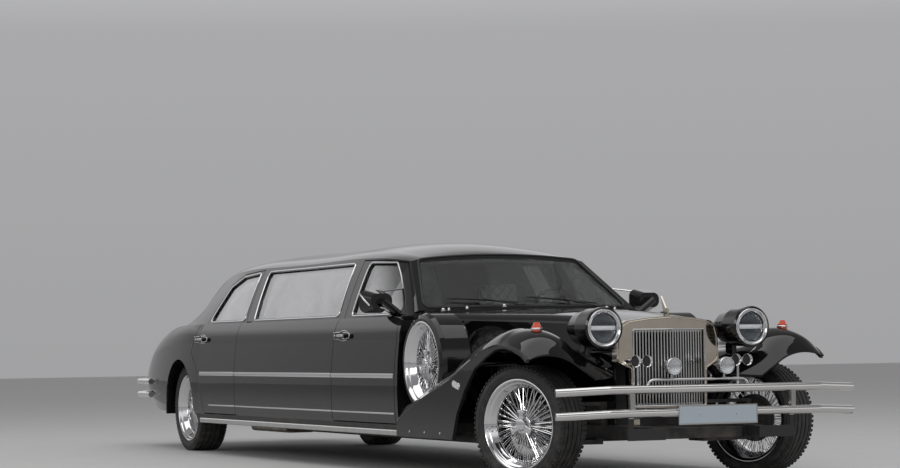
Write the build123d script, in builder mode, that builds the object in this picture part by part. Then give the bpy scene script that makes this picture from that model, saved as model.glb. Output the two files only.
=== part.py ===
from build123d import *
import math
import os

# A stretch limousine in neo-classic dress, in millimetres.
# +X is forward, +Y is the car's left, +Z is up. The origin is on the ground, under the middle of the overall length.

# Driving dimensions
wheelbase = 5920
front_overhang = 840
rear_overhang = 1430
body_half_width = 993
roof_z = 1540
belt_z = 1005
sill_z = 250
sill_top_z = 310
rail_z = 1404  # lower edge of the roof, above the doors
door_thickness = 110
frame_thickness = 42  # window frames and roof
skin_thickness = 35  # quarters and tail
shut_gap = 7.5
glass_thickness = 5
glass_inset = 12  # outer face of the glass behind the skin

overall_length = front_overhang + wheelbase + rear_overhang
front_axle_x = overall_length / 2 - front_overhang
rear_axle_x = front_axle_x - wheelbase
front_end_x = overall_length / 2
rear_end_x = -overall_length / 2

# Wheels
tyre_radius = 345
tyre_width = 236
rim_lip_radius = 265
rim_width = 214
hub_radius = 52
hub_back = 34  # inner face of a wheel's hub behind the wheel's middle
front_track = 1610
rear_track = 1570
spoke_count = 48
spoke_size = 5
steer_angle = 23  # the front wheels are turned to the left
kingpin_half_track = 715
steer_arm_length = 150
tie_rod_z = 235

# Body stations along the car
cowl_x = front_axle_x - 1465
firewall_thickness = 35
tail_straight_x = front_axle_x - 5400
bulkhead_x = rear_axle_x - 30
windshield_base_x = front_axle_x - 1555
windshield_top_x = front_axle_x - 2010
rear_glass_top_x = rear_axle_x + 160
rear_glass_base_x = rear_axle_x - 500
tail_x = rear_end_x + 80
side_window_z = 1030

# Front dress
hood_front_x = front_axle_x + 235
hood_rear_x = cowl_x + 10
hood_skin = 18
ledge_z = 766  # top of the ledge that the hood's sides close on
radiator_half = 345
radiator_peak_z = 968
radiator_bottom_z = 425
headlamp_y = 497
headlamp_z = 900
headlamp_radius = 122
bumper_tube_radius = 24
plate_thickness = 3
bumper_x = front_end_x - plate_thickness - bumper_tube_radius
upper_tube_z = 548
lower_tube_z = 415
board_top_z = 280
board_bottom_z = 240
board_half = 1000
spare_x = front_axle_x - 1140
spare_z = 700
spare_radius = 318
spare_face_y = 968


def across(x):
    """Work plane across the car at station x, with Y to the right and Z up."""
    return Plane(origin=(x, 0, 0), x_dir=(0, 1, 0), z_dir=(1, 0, 0))


def beside(y):
    """Work plane along the car at half-width y, with X to the right and Z up."""
    return Plane(origin=(0, y, 0), x_dir=(1, 0, 0), z_dir=(0, -1, 0))


# Lower body, by sections across the car
# columns: x, half width, half width at the belt, bottom z, belt z, crown z
body_stations = [
    (tail_straight_x, body_half_width, 928, sill_z, belt_z, 1062),
    (rear_axle_x, 984, 915, sill_z + 15, belt_z, 1066),
    (rear_axle_x - 450, 950, 850, 285, belt_z - 20, 1068),
    (rear_axle_x - 950, 885, 770, 330, 930, 1022),
    (tail_x, 800, 690, 400, 850, 955),
]


def body_section(station, wall=0, floor=0):
    """Closed section of the lower body, drawn in by a wall."""
    x, half, belt_half, bottom, belt, crown = station
    half = half - wall
    belt_half = belt_half - wall
    bottom = bottom + floor
    belt = belt - wall / 2
    crown = crown - wall
    waist = belt - 150
    with BuildSketch(across(x)) as section:
        with BuildLine():
            Line((0, bottom), (half - 42, bottom))
            Line((half - 42, bottom), (half - 8, bottom + 80))
            ThreePointArc((half - 8, bottom + 80), (half, (bottom + waist) / 2 - 20), (half - 20, waist))
            ThreePointArc((half - 20, waist), (half * 0.45 + belt_half * 0.55, belt - 58), (belt_half, belt))
            ThreePointArc((belt_half, belt), (belt_half * 0.52, crown - (crown - belt) * 0.24), (0, crown))
            mirror(about=Plane.YZ)
        make_face()
    return section.sketch


# Greenhouse, by sections across the car
# columns: x, half width at the base, half width at the rail, rail z, crown z
windshield_stations = [
    (windshield_base_x, 905, 800, 1040, 1064),
    (windshield_top_x, 905, 640, 1378, 1425),
]
roof_stations = [
    (windshield_top_x, 905, 640, 1378, 1425),
    (windshield_top_x - 330, 915, 688, 1408, 1500),
    (windshield_top_x - 1100, 915, 702, 1420, roof_z),
    (windshield_top_x - 2700, 915, 702, 1420, roof_z),
    (windshield_top_x - 3350, 912, 684, 1392, 1526),
    (rear_glass_top_x, 905, 660, 1318, 1486),
]
rear_glass_stations = [
    (rear_glass_top_x, 905, 660, 1318, 1486),
    (rear_axle_x - 150, 890, 655, 1150, 1312),
    (rear_glass_base_x, 850, 690, 1010, 1082),
]
greenhouse_foot_z = belt_z - 45


def greenhouse_section(station, wall=0):
    """Closed section of the greenhouse, drawn in by a wall."""
    x, base_half, rail_half, rail, crown = station
    base = (base_half - wall * 1.1, greenhouse_foot_z)
    rail_point = (rail_half - wall * 0.9, rail - wall * 0.45)
    crown_z = crown - wall
    cant = (rail_point[0] * 0.80, rail_point[1] + (crown_z - rail_point[1]) * 0.46)
    corner = ((rail_point[0] * 0.53 + cant[0] * 0.47), rail_point[1] + (cant[1] - rail_point[1]) * 0.64)
    bow = ((base[0] + rail_point[0]) / 2 + 12, (base[1] + rail_point[1]) / 2)
    with BuildSketch(across(x)) as section:
        with BuildLine():
            Line((0, greenhouse_foot_z), base)
            ThreePointArc(base, bow, rail_point)
            ThreePointArc(rail_point, corner, cant)
            ThreePointArc(cant, (cant[0] * 0.5, crown_z - (crown_z - cant[1]) * 0.25), (0, crown_z))
            mirror(about=Plane.YZ)
        make_face()
    return section.sketch


def add_greenhouse(wall):
    """Joins the windshield slope, the roof and the rear glass slope into the open builder."""
    for stations, straight in ((windshield_stations, True), (roof_stations, False), (rear_glass_stations, False)):
        loft(sections=[greenhouse_section(station, wall) for station in stations], ruled=straight)


# The whole outer form
with BuildPart() as outer_form:
    loft(sections=[
        body_section((cowl_x,) + body_stations[0][1:]),
        body_section(body_stations[0]),
    ], ruled=True)
    loft(sections=[body_section(station) for station in body_stations])
    add_greenhouse(0)

# The cabin and trunk hollows inside it
cabin_half = body_half_width - door_thickness
trunk_front_x = bulkhead_x - 30
with BuildPart() as cabin_hollow:
    with BuildSketch(Plane.XY.offset(sill_top_z - 20)):
        with Locations(((cowl_x - firewall_thickness + bulkhead_x) / 2, 0)):
            Rectangle(cowl_x - firewall_thickness - bulkhead_x, 2 * cabin_half)
    extrude(amount=belt_z - 25 - sill_top_z + 20)
    add_greenhouse(frame_thickness)
shelf_top_z = greenhouse_foot_z
shelf_thickness = 35
trunk_stations = [
    (trunk_front_x,) + body_stations[1][1:],
    body_stations[2],
    body_stations[3],
    (tail_x + 45,) + body_stations[4][1:],
]
with BuildPart() as trunk_hollow:
    loft(sections=[body_section(station, skin_thickness, 65) for station in trunk_stations])
    with BuildSketch(Plane.XY.offset(shelf_top_z - shelf_thickness)):
        with Locations(((trunk_front_x + rear_glass_base_x) / 2, 0)):
            Rectangle(trunk_front_x - rear_glass_base_x + 60, 2100)
    extrude(amount=400, mode=Mode.SUBTRACT)

# Arches of the rear wheels and the raised floor over the rear axle
arch_radius = 400
arch_z = 332
arch_inner_y = 622
liner = 14
with BuildPart() as arch_holes:
    for side in (1, -1):
        with BuildSketch(beside(side * arch_inner_y)):
            with Locations((rear_axle_x, arch_z)):
                Circle(arch_radius)
        extrude(amount=600, dir=(0, side, 0))
hump_front_x = rear_axle_x + 330
hump_rear_x = rear_axle_x - 340
hump_half = arch_inner_y - liner - 2
hump_top_z = 535
with BuildPart() as axle_space:
    with BuildSketch(beside(-hump_half + 22)):
        with BuildLine():
            Polyline((hump_front_x - 22, sill_z - 20), (hump_front_x - 70, hump_top_z - 22),
                     (hump_rear_x + 70, hump_top_z - 22), (hump_rear_x + 22, sill_z - 20), close=True)
        make_face()
    extrude(amount=2 * hump_half - 44, dir=(0, 1, 0))

# The body wall: outer form less its hollows
with BuildPart() as body_wall:
    add(outer_form.part)
    add(cabin_hollow.part, mode=Mode.SUBTRACT)
    add(trunk_hollow.part, mode=Mode.SUBTRACT)
    add(arch_holes.part, mode=Mode.SUBTRACT)
    add(axle_space.part, mode=Mode.SUBTRACT)


def skin_half(z):
    """Half width of the body side at height z, along the cabin."""
    if z <= belt_z - 150:
        return body_half_width
    if z <= belt_z:
        return body_half_width - 65 * (z - belt_z + 150) / 150
    return 915 - 213 * (z - belt_z) / (1420 - belt_z)


# Outlines on the right side, seen from the side: distance back from the front axle, z
door_bottom_z = sill_top_z + shut_gap / 2
roof_line = [(2010, 1334), (2060, 1370), (2340, 1396), (2640, rail_z), (4600, rail_z), (5030, 1384), (5265, 1312)]
front_door_outline = [
    (1512, door_bottom_z), (1512, 850), (1512, 1000), (1590, 1030), (2060, 1370), (2340, 1396), (2640, rail_z),
    (2572, belt_z), (2592, 800), (2592, door_bottom_z),
]
rear_door_outline = [
    (4552, door_bottom_z), (4552, 800), (4535, belt_z), (4600, rail_z), (5030, 1384), (5265, 1312), (5432, 1040),
    (5500, 935), (5592, 785), (5500, 715), (5420, 622), (5330, 470), (5285, door_bottom_z),
]
front_window_outline = [(1668, side_window_z), (2150, 1364), (2508, 1376), (2440, side_window_z)]
middle_window_outline = [(2690, side_window_z), (2775, 1378), (4462, 1378), (4360, side_window_z)]
rear_window_outline = [(4585, side_window_z), (4655, 1376), (5010, 1356), (5225, 1282), (5372, side_window_z)]
door_slant = {"front": 0.30, "rear": 0.40}  # the door edges lean back on their way out, so that they swing clear


def on_skin(outline, slant=0):
    """Outline points in x, moved so that a slanted cut meets the skin where the outline says."""
    return [(front_axle_x - back - slant * (body_half_width - skin_half(z)), z) for back, z in outline]


def outline_face(points, grow=0, radius=0):
    """A closed outline, grown or drawn in, with rounded corners."""
    with BuildSketch() as outline:
        with BuildLine():
            Polyline(*points, close=True)
        make_face()
        if radius:
            fillet(outline.vertices(), radius)
        if grow:
            offset(amount=grow, kind=Kind.INTERSECTION, mode=Mode.REPLACE)
    return outline.sketch


def side_cutter(sketch, slant=0, start=60, reach=475, room=0):
    """A prism through the right body side, from outside the skin to just inside the wall."""
    with BuildPart() as cutter:
        with BuildSketch(Plane(origin=(-slant * start, -body_half_width - start, 0), x_dir=(1, 0, 0), z_dir=(0, -1, 0))):
            add(sketch)
        extrude(amount=reach, dir=(slant, 1, 0))
        with BuildSketch(across(tail_straight_x - 600)):
            with BuildLine():
                Polyline((-1200, sill_z - 100), (-cabin_half - 2, sill_z - 100), (-cabin_half - 2, belt_z - 20),
                         (-762, belt_z + 30), (-585, rail_z), (-585, rail_z + 60), (-1200, rail_z + 60), close=True)
            make_face()
            if room:
                offset(amount=room, kind=Kind.INTERSECTION, mode=Mode.REPLACE)
        extrude(amount=5200, mode=Mode.INTERSECT)
    return cutter.part


def box(x_range, y_range, z_range):
    """A block between two corners."""
    with BuildPart() as block:
        with BuildSketch(Plane.XY.offset(z_range[0])):
            with Locations(((x_range[0] + x_range[1]) / 2, (y_range[0] + y_range[1]) / 2)):
                Rectangle(abs(x_range[1] - x_range[0]), abs(y_range[1] - y_range[0]))
        extrude(amount=z_range[1] - z_range[0])
    return block.part


def finish(piece, name):
    """Labels a finished piece and writes it."""
    piece.label = name
    export_step(piece, f"parts/{name}.step")


# Door hinges: a bent arm on the body carries a pin that the door turns on
hinge_y = 981
hinge_heights = (450, 660)
hinge_pin_radius = 4
hinge_slack = 0.1
hinge_places = {"front": (front_axle_x - 1526, 42), "rear": (front_axle_x - 4566, 50)}  # x, reach of the arm


def hinge_arm(x, z, reach):
    """Arm and pin of one hinge on the right side."""
    with BuildPart() as arm:
        with BuildSketch(Plane.XY.offset(z - 15)):
            with BuildLine():
                Polyline((x - 4.5, -hinge_y), (x + 2.5, 43 - hinge_y), (x + reach, 49 - hinge_y), (x + reach, 41 - hinge_y),
                         (x + 9.5, 38 - hinge_y), (x + 4.5, -hinge_y), close=True)
            make_face()
            with Locations((x, -hinge_y)):
                Circle(6)
        extrude(amount=30)
        with BuildSketch(Plane.XY.offset(z - 30)):
            with Locations((x, -hinge_y)):
                Circle(hinge_pin_radius)
        extrude(amount=60)
    return arm.part


def hinge_pocket(x, z):
    """Room for that arm in the edge of the door, and the bores of the pin."""
    with BuildPart() as pocket:
        add(box((x - 11, x + 70), (-hinge_y - 7, 56 - hinge_y), (z - 20, z + 20)))
        with BuildSketch(Plane.XY.offset(z - 31)):
            with Locations((x, -hinge_y)):
                Circle(hinge_pin_radius + hinge_slack)
        extrude(amount=62)
    return pocket.part


os.makedirs("parts", exist_ok=True)

door_points = {
    "front": on_skin(front_door_outline, door_slant["front"]),
    "rear": on_skin(rear_door_outline, door_slant["rear"]),
}
door_cutter = {
    end: side_cutter(outline_face(points, -shut_gap / 2), door_slant[end]) for end, points in door_points.items()
}
door_hole = {
    end: side_cutter(outline_face(points, shut_gap / 2), door_slant[end], room=shut_gap)
    for end, points in door_points.items()
}
window_cutter = {
    name: side_cutter(outline_face(on_skin(outline), 0, 26))
    for name, outline in (
        ("front", front_window_outline), ("middle", middle_window_outline), ("rear", rear_window_outline),
    )
}

# Layer of glass that follows the greenhouse, a little behind its skin
with BuildPart() as glass_core:
    add_greenhouse(glass_inset + glass_thickness)
with BuildPart() as glass_layer:
    add_greenhouse(glass_inset)
    add(glass_core.part, mode=Mode.SUBTRACT)

# Openings of the windshield and the rear window, seen from above
rear_window_half = 632
window_seam = 4
with BuildPart() as windshield_opening:
    with BuildSketch(Plane.XY.offset(belt_z - 20)):
        with BuildLine():
            front_left = (windshield_base_x - 28, 742)
            rear_left = (windshield_top_x + 18, 588)
            front_right = (front_left[0], -front_left[1])
            rear_right = (rear_left[0], -rear_left[1])
            Line(front_left, rear_left)
            ThreePointArc(rear_left, (rear_left[0] + 4, 0), rear_right)
            Line(rear_right, front_right)
            ThreePointArc(front_right, (front_left[0] + 12, 0), front_left)
        make_face()
    extrude(amount=roof_z - belt_z + 60)
rear_opening = box(
    (rear_glass_base_x + 26, rear_glass_top_x - 30), (-rear_window_half, rear_window_half), (greenhouse_foot_z, 1600),
)

with BuildPart() as windshield:
    add(glass_layer.part)
    add(windshield_opening.part, mode=Mode.INTERSECT)
finish(windshield.part, "windshield")
with BuildPart() as rear_window:
    add(glass_layer.part)
    add(rear_opening, mode=Mode.INTERSECT)
finish(rear_window.part, "rear_window")

# Roof, with the headers of the windshield and the rear window
with BuildPart() as roof_panel:
    add(body_wall.part)
    with BuildSketch(beside(1100)):
        with BuildLine():
            Polyline(*[(front_axle_x - back, z) for back, z in roof_line],
                     (rear_glass_top_x - 20, 1300), (rear_glass_top_x - 20, 1700),
                     (front_axle_x - roof_line[0][0], 1700), close=True)
        make_face()
    extrude(amount=2200, mode=Mode.INTERSECT)
    for flip in (False, True):
        for end in ("front", "rear"):
            hole = door_hole[end]
            add(mirror(hole, about=Plane.XZ, mode=Mode.PRIVATE) if flip else hole, mode=Mode.SUBTRACT)
    add(windshield_opening.part, mode=Mode.SUBTRACT)
    add(rear_opening, mode=Mode.SUBTRACT)
finish(roof_panel.part, "roof_panel")

# Cowl: firewall, hinge posts, windshield pillars
hood_hinge_x = hood_rear_x + 5
hood_hinge_z = 1044.5
hood_pin_radius = 3
with BuildPart() as cowl:
    add(body_wall.part)
    with BuildSketch(beside(1100)):
        with BuildLine():
            Polyline(*[(front_axle_x - back, z) for back, z in (
                (1400, sill_top_z), (1400, 1700), (2010, 1700), roof_line[0], (1680, 1020), (1680, sill_top_z),
            )], close=True)
        make_face()
    extrude(amount=2200, mode=Mode.INTERSECT)
    for flip in (False, True):
        hole = door_hole["front"]
        add(mirror(hole, about=Plane.XZ, mode=Mode.PRIVATE) if flip else hole, mode=Mode.SUBTRACT)
    add(windshield_opening.part, mode=Mode.SUBTRACT)
    add(box((cowl_x - firewall_thickness - 10, cowl_x + 10), (-105, 105), (0, 405)), mode=Mode.SUBTRACT)
    for side in (1, -1):
        add(box((front_axle_x - 1600, cowl_x - firewall_thickness), (side * 862, side * 900), (976, 1014)),
            mode=Mode.SUBTRACT)
    for height in hinge_heights:
        arm = hinge_arm(hinge_places["front"][0], height, hinge_places["front"][1])
        add(arm)
        add(mirror(arm, about=Plane.XZ, mode=Mode.PRIVATE))
    # ears of the hood's hinge with their pins
    for side in (1, -1):
        with BuildSketch(beside(side * 70 + 10)):
            with Locations((hood_hinge_x, hood_hinge_z)):
                Circle(5.5)
            with Locations(((cowl_x + hood_hinge_x) / 2, hood_hinge_z)):
                Rectangle(hood_hinge_x - cowl_x, 9)
        extrude(amount=20)
        with BuildSketch(beside(side * 70 + 26)):
            with Locations((hood_hinge_x, hood_hinge_z)):
                Circle(hood_pin_radius)
        extrude(amount=52)
finish(cowl.part, "cowl")

# Middle side panels of the stretch
with BuildPart() as side_panel_right:
    add(body_wall.part)
    with BuildSketch(beside(-560)):
        with BuildLine():
            Polyline(*[(front_axle_x - back, z) for back, z in (
                (2500, sill_top_z), (2500, belt_z), (2640, rail_z), (4600, rail_z), (4650, belt_z), (4650, sill_top_z),
            )], close=True)
        make_face()
    extrude(amount=600, mode=Mode.INTERSECT)
    add(door_hole["front"], mode=Mode.SUBTRACT)
    add(door_hole["rear"], mode=Mode.SUBTRACT)
    add(window_cutter["middle"], mode=Mode.SUBTRACT)
    add(box((front_axle_x - 4700, front_axle_x - 4420), (-900, -862), (976, 1014)), mode=Mode.SUBTRACT)
    for height in hinge_heights:
        add(hinge_arm(hinge_places["rear"][0], height, hinge_places["rear"][1]))

# Rear quarters, with the C-pillars and the wheel houses
quarter_split_y = 640
with BuildPart() as wheel_house:
    with BuildSketch(beside(-arch_inner_y + liner)):
        with Locations((rear_axle_x, arch_z)):
            Circle(arch_radius + liner)
    extrude(amount=340)
    with BuildSketch(beside(-arch_inner_y)):
        with Locations((rear_axle_x, arch_z)):
            Circle(arch_radius)
    extrude(amount=400, mode=Mode.SUBTRACT)
    with BuildSketch(beside(-arch_inner_y + liner + 5)):
        with Locations((rear_axle_x, tyre_radius)):
            Circle(65)
    extrude(amount=40, mode=Mode.SUBTRACT)
    add(box((rear_axle_x - 600, rear_axle_x + 600), (-1100, 0), (-200, sill_top_z - 20)), mode=Mode.SUBTRACT)
with BuildPart() as rear_quarter_right:
    add(body_wall.part)
    with BuildSketch(beside(-quarter_split_y)):
        with BuildLine():
            Polyline(*[(front_axle_x - back, z) for back, z in (
                (4900, sill_top_z), (4900, roof_line[-2][1]), roof_line[-2], roof_line[-1],
            )], (rear_glass_top_x - 20, 1300), (rear_glass_top_x - 20, 1700), (tail_x - 100, 1700),
                (tail_x - 100, sill_top_z), close=True)
        make_face()
    extrude(amount=500, mode=Mode.INTERSECT)
    add(door_hole["rear"], mode=Mode.SUBTRACT)
    add(rear_opening, mode=Mode.SUBTRACT)
    add(wheel_house.part)

# Trunk lid and tail panel
lid_half = 602
lid_front_x = rear_glass_base_x - 62
lid_rear_low_z = 655
lid_points = [
    (lid_front_x, 1300), (tail_x - 100, 1300), (tail_x - 100, lid_rear_low_z), (tail_x + 80, lid_rear_low_z),
    (tail_x + 80, 830), (lid_front_x, 830),
]
lid_solid = {}
for name, grow in (("lid", -shut_gap / 2), ("hole", shut_gap / 2)):
    with BuildPart() as lid_block:
        with BuildSketch(beside(lid_half + grow)):
            add(outline_face(lid_points, grow))
        extrude(amount=2 * (lid_half + grow))
    lid_solid[name] = lid_block.part
lid_hinge_x = lid_front_x - 13
lid_hinge_z = 1049
lid_pin_radius = 3
with BuildPart() as trunk_lid:
    add(body_wall.part)
    add(lid_solid["lid"], mode=Mode.INTERSECT)
    add(box((lid_front_x - 7, lid_front_x + 20), (-700, 700), (800, 1200)), mode=Mode.SUBTRACT)
    for side in (1, -1):
        add(box((lid_hinge_x - 13, lid_front_x), (side * 52, side * 88), (1010, 1100)), mode=Mode.SUBTRACT)
        with BuildSketch(beside(side * 70 + 27)):
            with Locations((lid_hinge_x, lid_hinge_z)):
                Circle(lid_pin_radius + hinge_slack)
        extrude(amount=54, mode=Mode.SUBTRACT)
finish(trunk_lid.part, "trunk_lid")
trunk_floor_z = 480
with BuildPart() as tail_panel:
    add(body_wall.part)
    add(box((tail_x - 100, rear_glass_base_x + 26), (-quarter_split_y, quarter_split_y), (trunk_floor_z, 1300)),
        mode=Mode.INTERSECT)
    add(box((rear_glass_base_x - 20, rear_glass_base_x + 60), (-700, 700), (0, shelf_top_z)), mode=Mode.SUBTRACT)
    add(lid_solid["hole"], mode=Mode.SUBTRACT)
    for side in (1, -1):
        with BuildSketch(beside(side * 70 + 10)):
            with Locations((lid_hinge_x, lid_hinge_z)):
                Circle(5.5)
            with Locations(((lid_front_x + 10 + lid_hinge_x) / 2, lid_hinge_z)):
                Rectangle(lid_front_x + 10 - lid_hinge_x, 9)
        extrude(amount=20)
        with BuildSketch(beside(side * 70 + 26)):
            with Locations((lid_hinge_x, lid_hinge_z)):
                Circle(lid_pin_radius)
        extrude(amount=52)
finish(tail_panel.part, "tail_panel")

# Floor pan: sills, cabin floor with its tunnel, hump over the axle, bulkhead, shelf and trunk floor
tunnel_half = 125
tunnel_top_z = 425
pan_gauge = 20
with BuildPart() as floor_pan:
    add(body_wall.part)
    with BuildPart(mode=Mode.PRIVATE) as pan_zone:
        add(box((trunk_front_x + 10, cowl_x + 10), (-1100, 1100), (0, sill_top_z)))
        add(box((tail_x - 100, trunk_front_x + 10), (-quarter_split_y, quarter_split_y), (0, trunk_floor_z)))
        add(box((trunk_front_x - 1, bulkhead_x + 1), (-quarter_split_y, quarter_split_y), (0, shelf_top_z)))
        add(box((rear_glass_base_x - 20, bulkhead_x), (-quarter_split_y, quarter_split_y),
                (shelf_top_z - shelf_thickness - 2, shelf_top_z)))
    add(pan_zone.part, mode=Mode.INTERSECT)
    # tunnel and hump
    add(box((hump_front_x - 30, cowl_x - firewall_thickness), (-tunnel_half, tunnel_half), (sill_z, tunnel_top_z)))
    with BuildSketch(beside(-hump_half)):
        with BuildLine():
            Polyline((hump_front_x, sill_z), (hump_front_x - 48, hump_top_z), (hump_rear_x + 48, hump_top_z),
                     (hump_rear_x, sill_z + 40), close=True)
        make_face()
    extrude(amount=-2 * hump_half)
    add(box((hump_front_x - 60, cowl_x + 20), (pan_gauge - tunnel_half, tunnel_half - pan_gauge),
            (0, tunnel_top_z - pan_gauge)), mode=Mode.SUBTRACT)
    add(axle_space.part, mode=Mode.SUBTRACT)
    # ways for the axle, and room for the wheel houses
    with BuildSketch(beside(-800)):
        with Locations((rear_axle_x, tyre_radius)):
            Circle(60)
    extrude(amount=-1600, mode=Mode.SUBTRACT)
    for side in (1, -1):
        with BuildSketch(beside(side * (arch_inner_y - liner))):
            with Locations((rear_axle_x, arch_z)):
                Circle(arch_radius + liner)
        extrude(amount=400, dir=(0, side, 0), mode=Mode.SUBTRACT)
finish(floor_pan.part, "floor_pan")

# Doors of the right side
mirror_z = 1105
mirror_y = 980
handle_z = 888
door_parts = {}
for end, window in (("front", "front"), ("rear", "rear")):
    with BuildPart() as door:
        add(body_wall.part)
        add(door_cutter[end], mode=Mode.INTERSECT)
        add(window_cutter[window], mode=Mode.SUBTRACT)
        for height in hinge_heights:
            add(hinge_pocket(hinge_places[end][0], height), mode=Mode.SUBTRACT)
    with BuildPart() as pane:
        add(glass_layer.part)
        add(window_cutter[window], mode=Mode.INTERSECT)
    door_parts[end] = (door.part, pane.part)
with BuildPart() as side_glass:
    add(glass_layer.part)
    add(window_cutter["middle"], mode=Mode.INTERSECT)

# Mirrors and handles of the doors
mirror_x = front_axle_x - 1790
handle_points = {"front": (front_axle_x - 2410, handle_z), "rear": (front_axle_x - 5330, handle_z)}


def handle_bar(point):
    """A pull handle on the right door skin."""
    x, z = point
    with BuildPart() as bar:
        with BuildSketch(Plane(origin=(x, -body_half_width + 30, z), x_dir=(1, 0, 0), z_dir=(0, -1, 0))):
            SlotOverall(190, 44)
        extrude(amount=44)
    return bar.part


with BuildPart() as door_front_right:
    add(door_parts["front"][0])
    add(handle_bar(handle_points["front"]))
    # door mirror on its foot
    with BuildSketch(Plane(origin=(mirror_x + 95, -880, side_window_z - 12), x_dir=(1, 0, 0), z_dir=(0, -0.8, 0.6))):
        SlotOverall(120, 44)
    extrude(amount=150)
    with BuildSketch(across(mirror_x - 40)) as mirror_back:
        with Locations((-mirror_y - 20, mirror_z)):
            RectangleRounded(190, 150, 48)
    with BuildSketch(across(mirror_x + 90)) as mirror_nose:
        with Locations((-mirror_y - 12, mirror_z)):
            RectangleRounded(150, 100, 44)
    loft(sections=[mirror_back.sketch, mirror_nose.sketch])
with BuildPart() as door_rear_right:
    add(door_parts["rear"][0])
    add(handle_bar(handle_points["rear"]))

sided = {
    "door_front": door_front_right.part,
    "door_rear": door_rear_right.part,
    "door_glass_front": door_parts["front"][1],
    "door_glass_rear": door_parts["rear"][1],
    "side_panel": side_panel_right.part,
    "rear_quarter": rear_quarter_right.part,
}

# Glass of the middle windows
with BuildPart() as side_windows:
    add(side_glass.part)
    mirror(about=Plane.XZ)
finish(side_windows.part, "side_windows")

# Hood, by sections across the car
# columns: distance ahead of the front axle, half width, shoulder z, crown z
hood_stations = [
    (hood_front_x - front_axle_x, 318, 908, 962),
    (0, 345, 922, 992),
    (-660, 476, 950, 1030),
    (hood_rear_x - front_axle_x, 684, 978, 1054),
]
hood_side_z = ledge_z + 8


def hood_section(station, wall, foot):
    """Closed section of the hood, drawn in by its skin."""
    ahead, half, shoulder, crown = station
    side = (half - wall, foot)
    shoulder_point = (half - 6 - wall, shoulder - wall / 3)
    crown = crown - wall
    cant = (half - 78 - wall, shoulder_point[1] + (crown - shoulder_point[1]) * 0.62)
    bend = (half - 26 - wall, shoulder_point[1] + (crown - shoulder_point[1]) * 0.42)
    with BuildSketch(across(front_axle_x + ahead)) as section:
        with BuildLine():
            Line((0, foot), side)
            Line(side, shoulder_point)
            ThreePointArc(shoulder_point, bend, cant)
            ThreePointArc(cant, (cant[0] * 0.5, crown - (crown - cant[1]) * 0.28), (0, crown))
            mirror(about=Plane.YZ)
        make_face()
    return section.sketch


hood_rake = 22  # the hood's side edges lean back by this much, so that they swing clear of the radiator
with BuildPart() as hood:
    loft(sections=[hood_section(station, 0, hood_side_z) for station in hood_stations])
    loft(sections=[hood_section(station, hood_skin, hood_side_z - 30) for station in hood_stations],
         mode=Mode.SUBTRACT)
    with BuildSketch(beside(800)):
        with BuildLine():
            Polyline((hood_front_x, 1200), (hood_front_x, radiator_peak_z - 8), (hood_front_x - hood_rake, hood_side_z),
                     (hood_front_x - hood_rake, 700), (cowl_x, 700), (cowl_x, 1200), close=True)
        make_face()
    extrude(amount=1600, mode=Mode.INTERSECT)
    for side in (1, -1):
        add(box((hood_rear_x - 5, hood_hinge_x + 12), (side * 52, side * 88), (1020, 1080)), mode=Mode.SUBTRACT)
        with BuildSketch(beside(side * 70 + 27)):
            with Locations((hood_hinge_x, hood_hinge_z)):
                Circle(hood_pin_radius + hinge_slack)
        extrude(amount=54, mode=Mode.SUBTRACT)
finish(hood.part, "hood")

# Front fenders: a crowned wing over the wheel that sweeps down to the running board
# columns: ahead of the front axle, then y and z of the inner edge, shoulder, crown and outer edge
fender_stations = [
    (410, 560, 610, 680, 690, 850, 752, 985, 722),
    (375, 473, 615, 669, 734, 845, 804, 989, 747),
    (330, 400, 625, 660, 770, 840, 850, 993, 770),
    (260, 359, 653, 653, 791, 834, 880, 996, 788),
    (180, 340, 690, 650, 800, 830, 896, 998, 800),
    (90, 348, 724, 650, 796, 830, 902, 999, 808),
    (0, 362, 745, 650, 790, 830, 905, board_half, 812),
    (-140, 382, 752, 650, 787, 832, 890, board_half, 787),
    (-280, 405, 756, 650, 785, 835, 860, board_half, 741),
    (-470, 445, 758, 660, 775, 844, 804, board_half, 672),
    (-660, 490, 760, 680, 760, 855, 738, board_half, 600),
    (-860, 541, 761, 708, 743, 867, 679, board_half, 543),
    (-1060, 594, 762, 740, 720, 880, 618, board_half, 486),
    (-1260, 646, 762, 770, 686, 896, 548, board_half, 414),
    (cowl_x - front_axle_x, 700, 762, 800, 640, 915, 470, board_half, 330),
]
fender_gauge = 10
inner_wall_y = 300
rail_top_front_z = 330
# outline of the outer side below the wing: ahead of the front axle, z
flange_outline = [
    (-1464.7, 326), (-1300, 433), (-1060, 489), (-857, 547), (-657, 604), (-491, 660), (-280, 744), (-124, 785),
    (60, 812), (180, 802), (330, 772), (404, 728), (398, 706), (330, 742), (211, 776), (120, 789), (0, 784), (-124, 742),
    (-287, 674), (-427, 550), (-550, 400), (-620, board_bottom_z), (-1464.7, board_bottom_z),
]
flange_gauge = 20


def fender_section(station):
    """Thin section of the wing on the right side."""
    ahead, inner_y, inner_z, shoulder_y, shoulder_z, crown_y, crown_z, outer_y, outer_z = station
    gauge = fender_gauge
    with BuildSketch(across(front_axle_x + ahead)) as section:
        with BuildLine():
            Line((-inner_y, inner_z), (-shoulder_y, shoulder_z))
            ThreePointArc((-shoulder_y, shoulder_z), (-crown_y, crown_z), (-outer_y, outer_z))
            Line((-outer_y, outer_z), (gauge - outer_y, outer_z))
            ThreePointArc((gauge - outer_y, outer_z), (-crown_y, crown_z - gauge), (-shoulder_y, shoulder_z - gauge))
            Line((-shoulder_y, shoulder_z - gauge), (-inner_y, inner_z - gauge))
            Line((-inner_y, inner_z - gauge), (-inner_y, inner_z))
        make_face()
    return section.sketch


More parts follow.
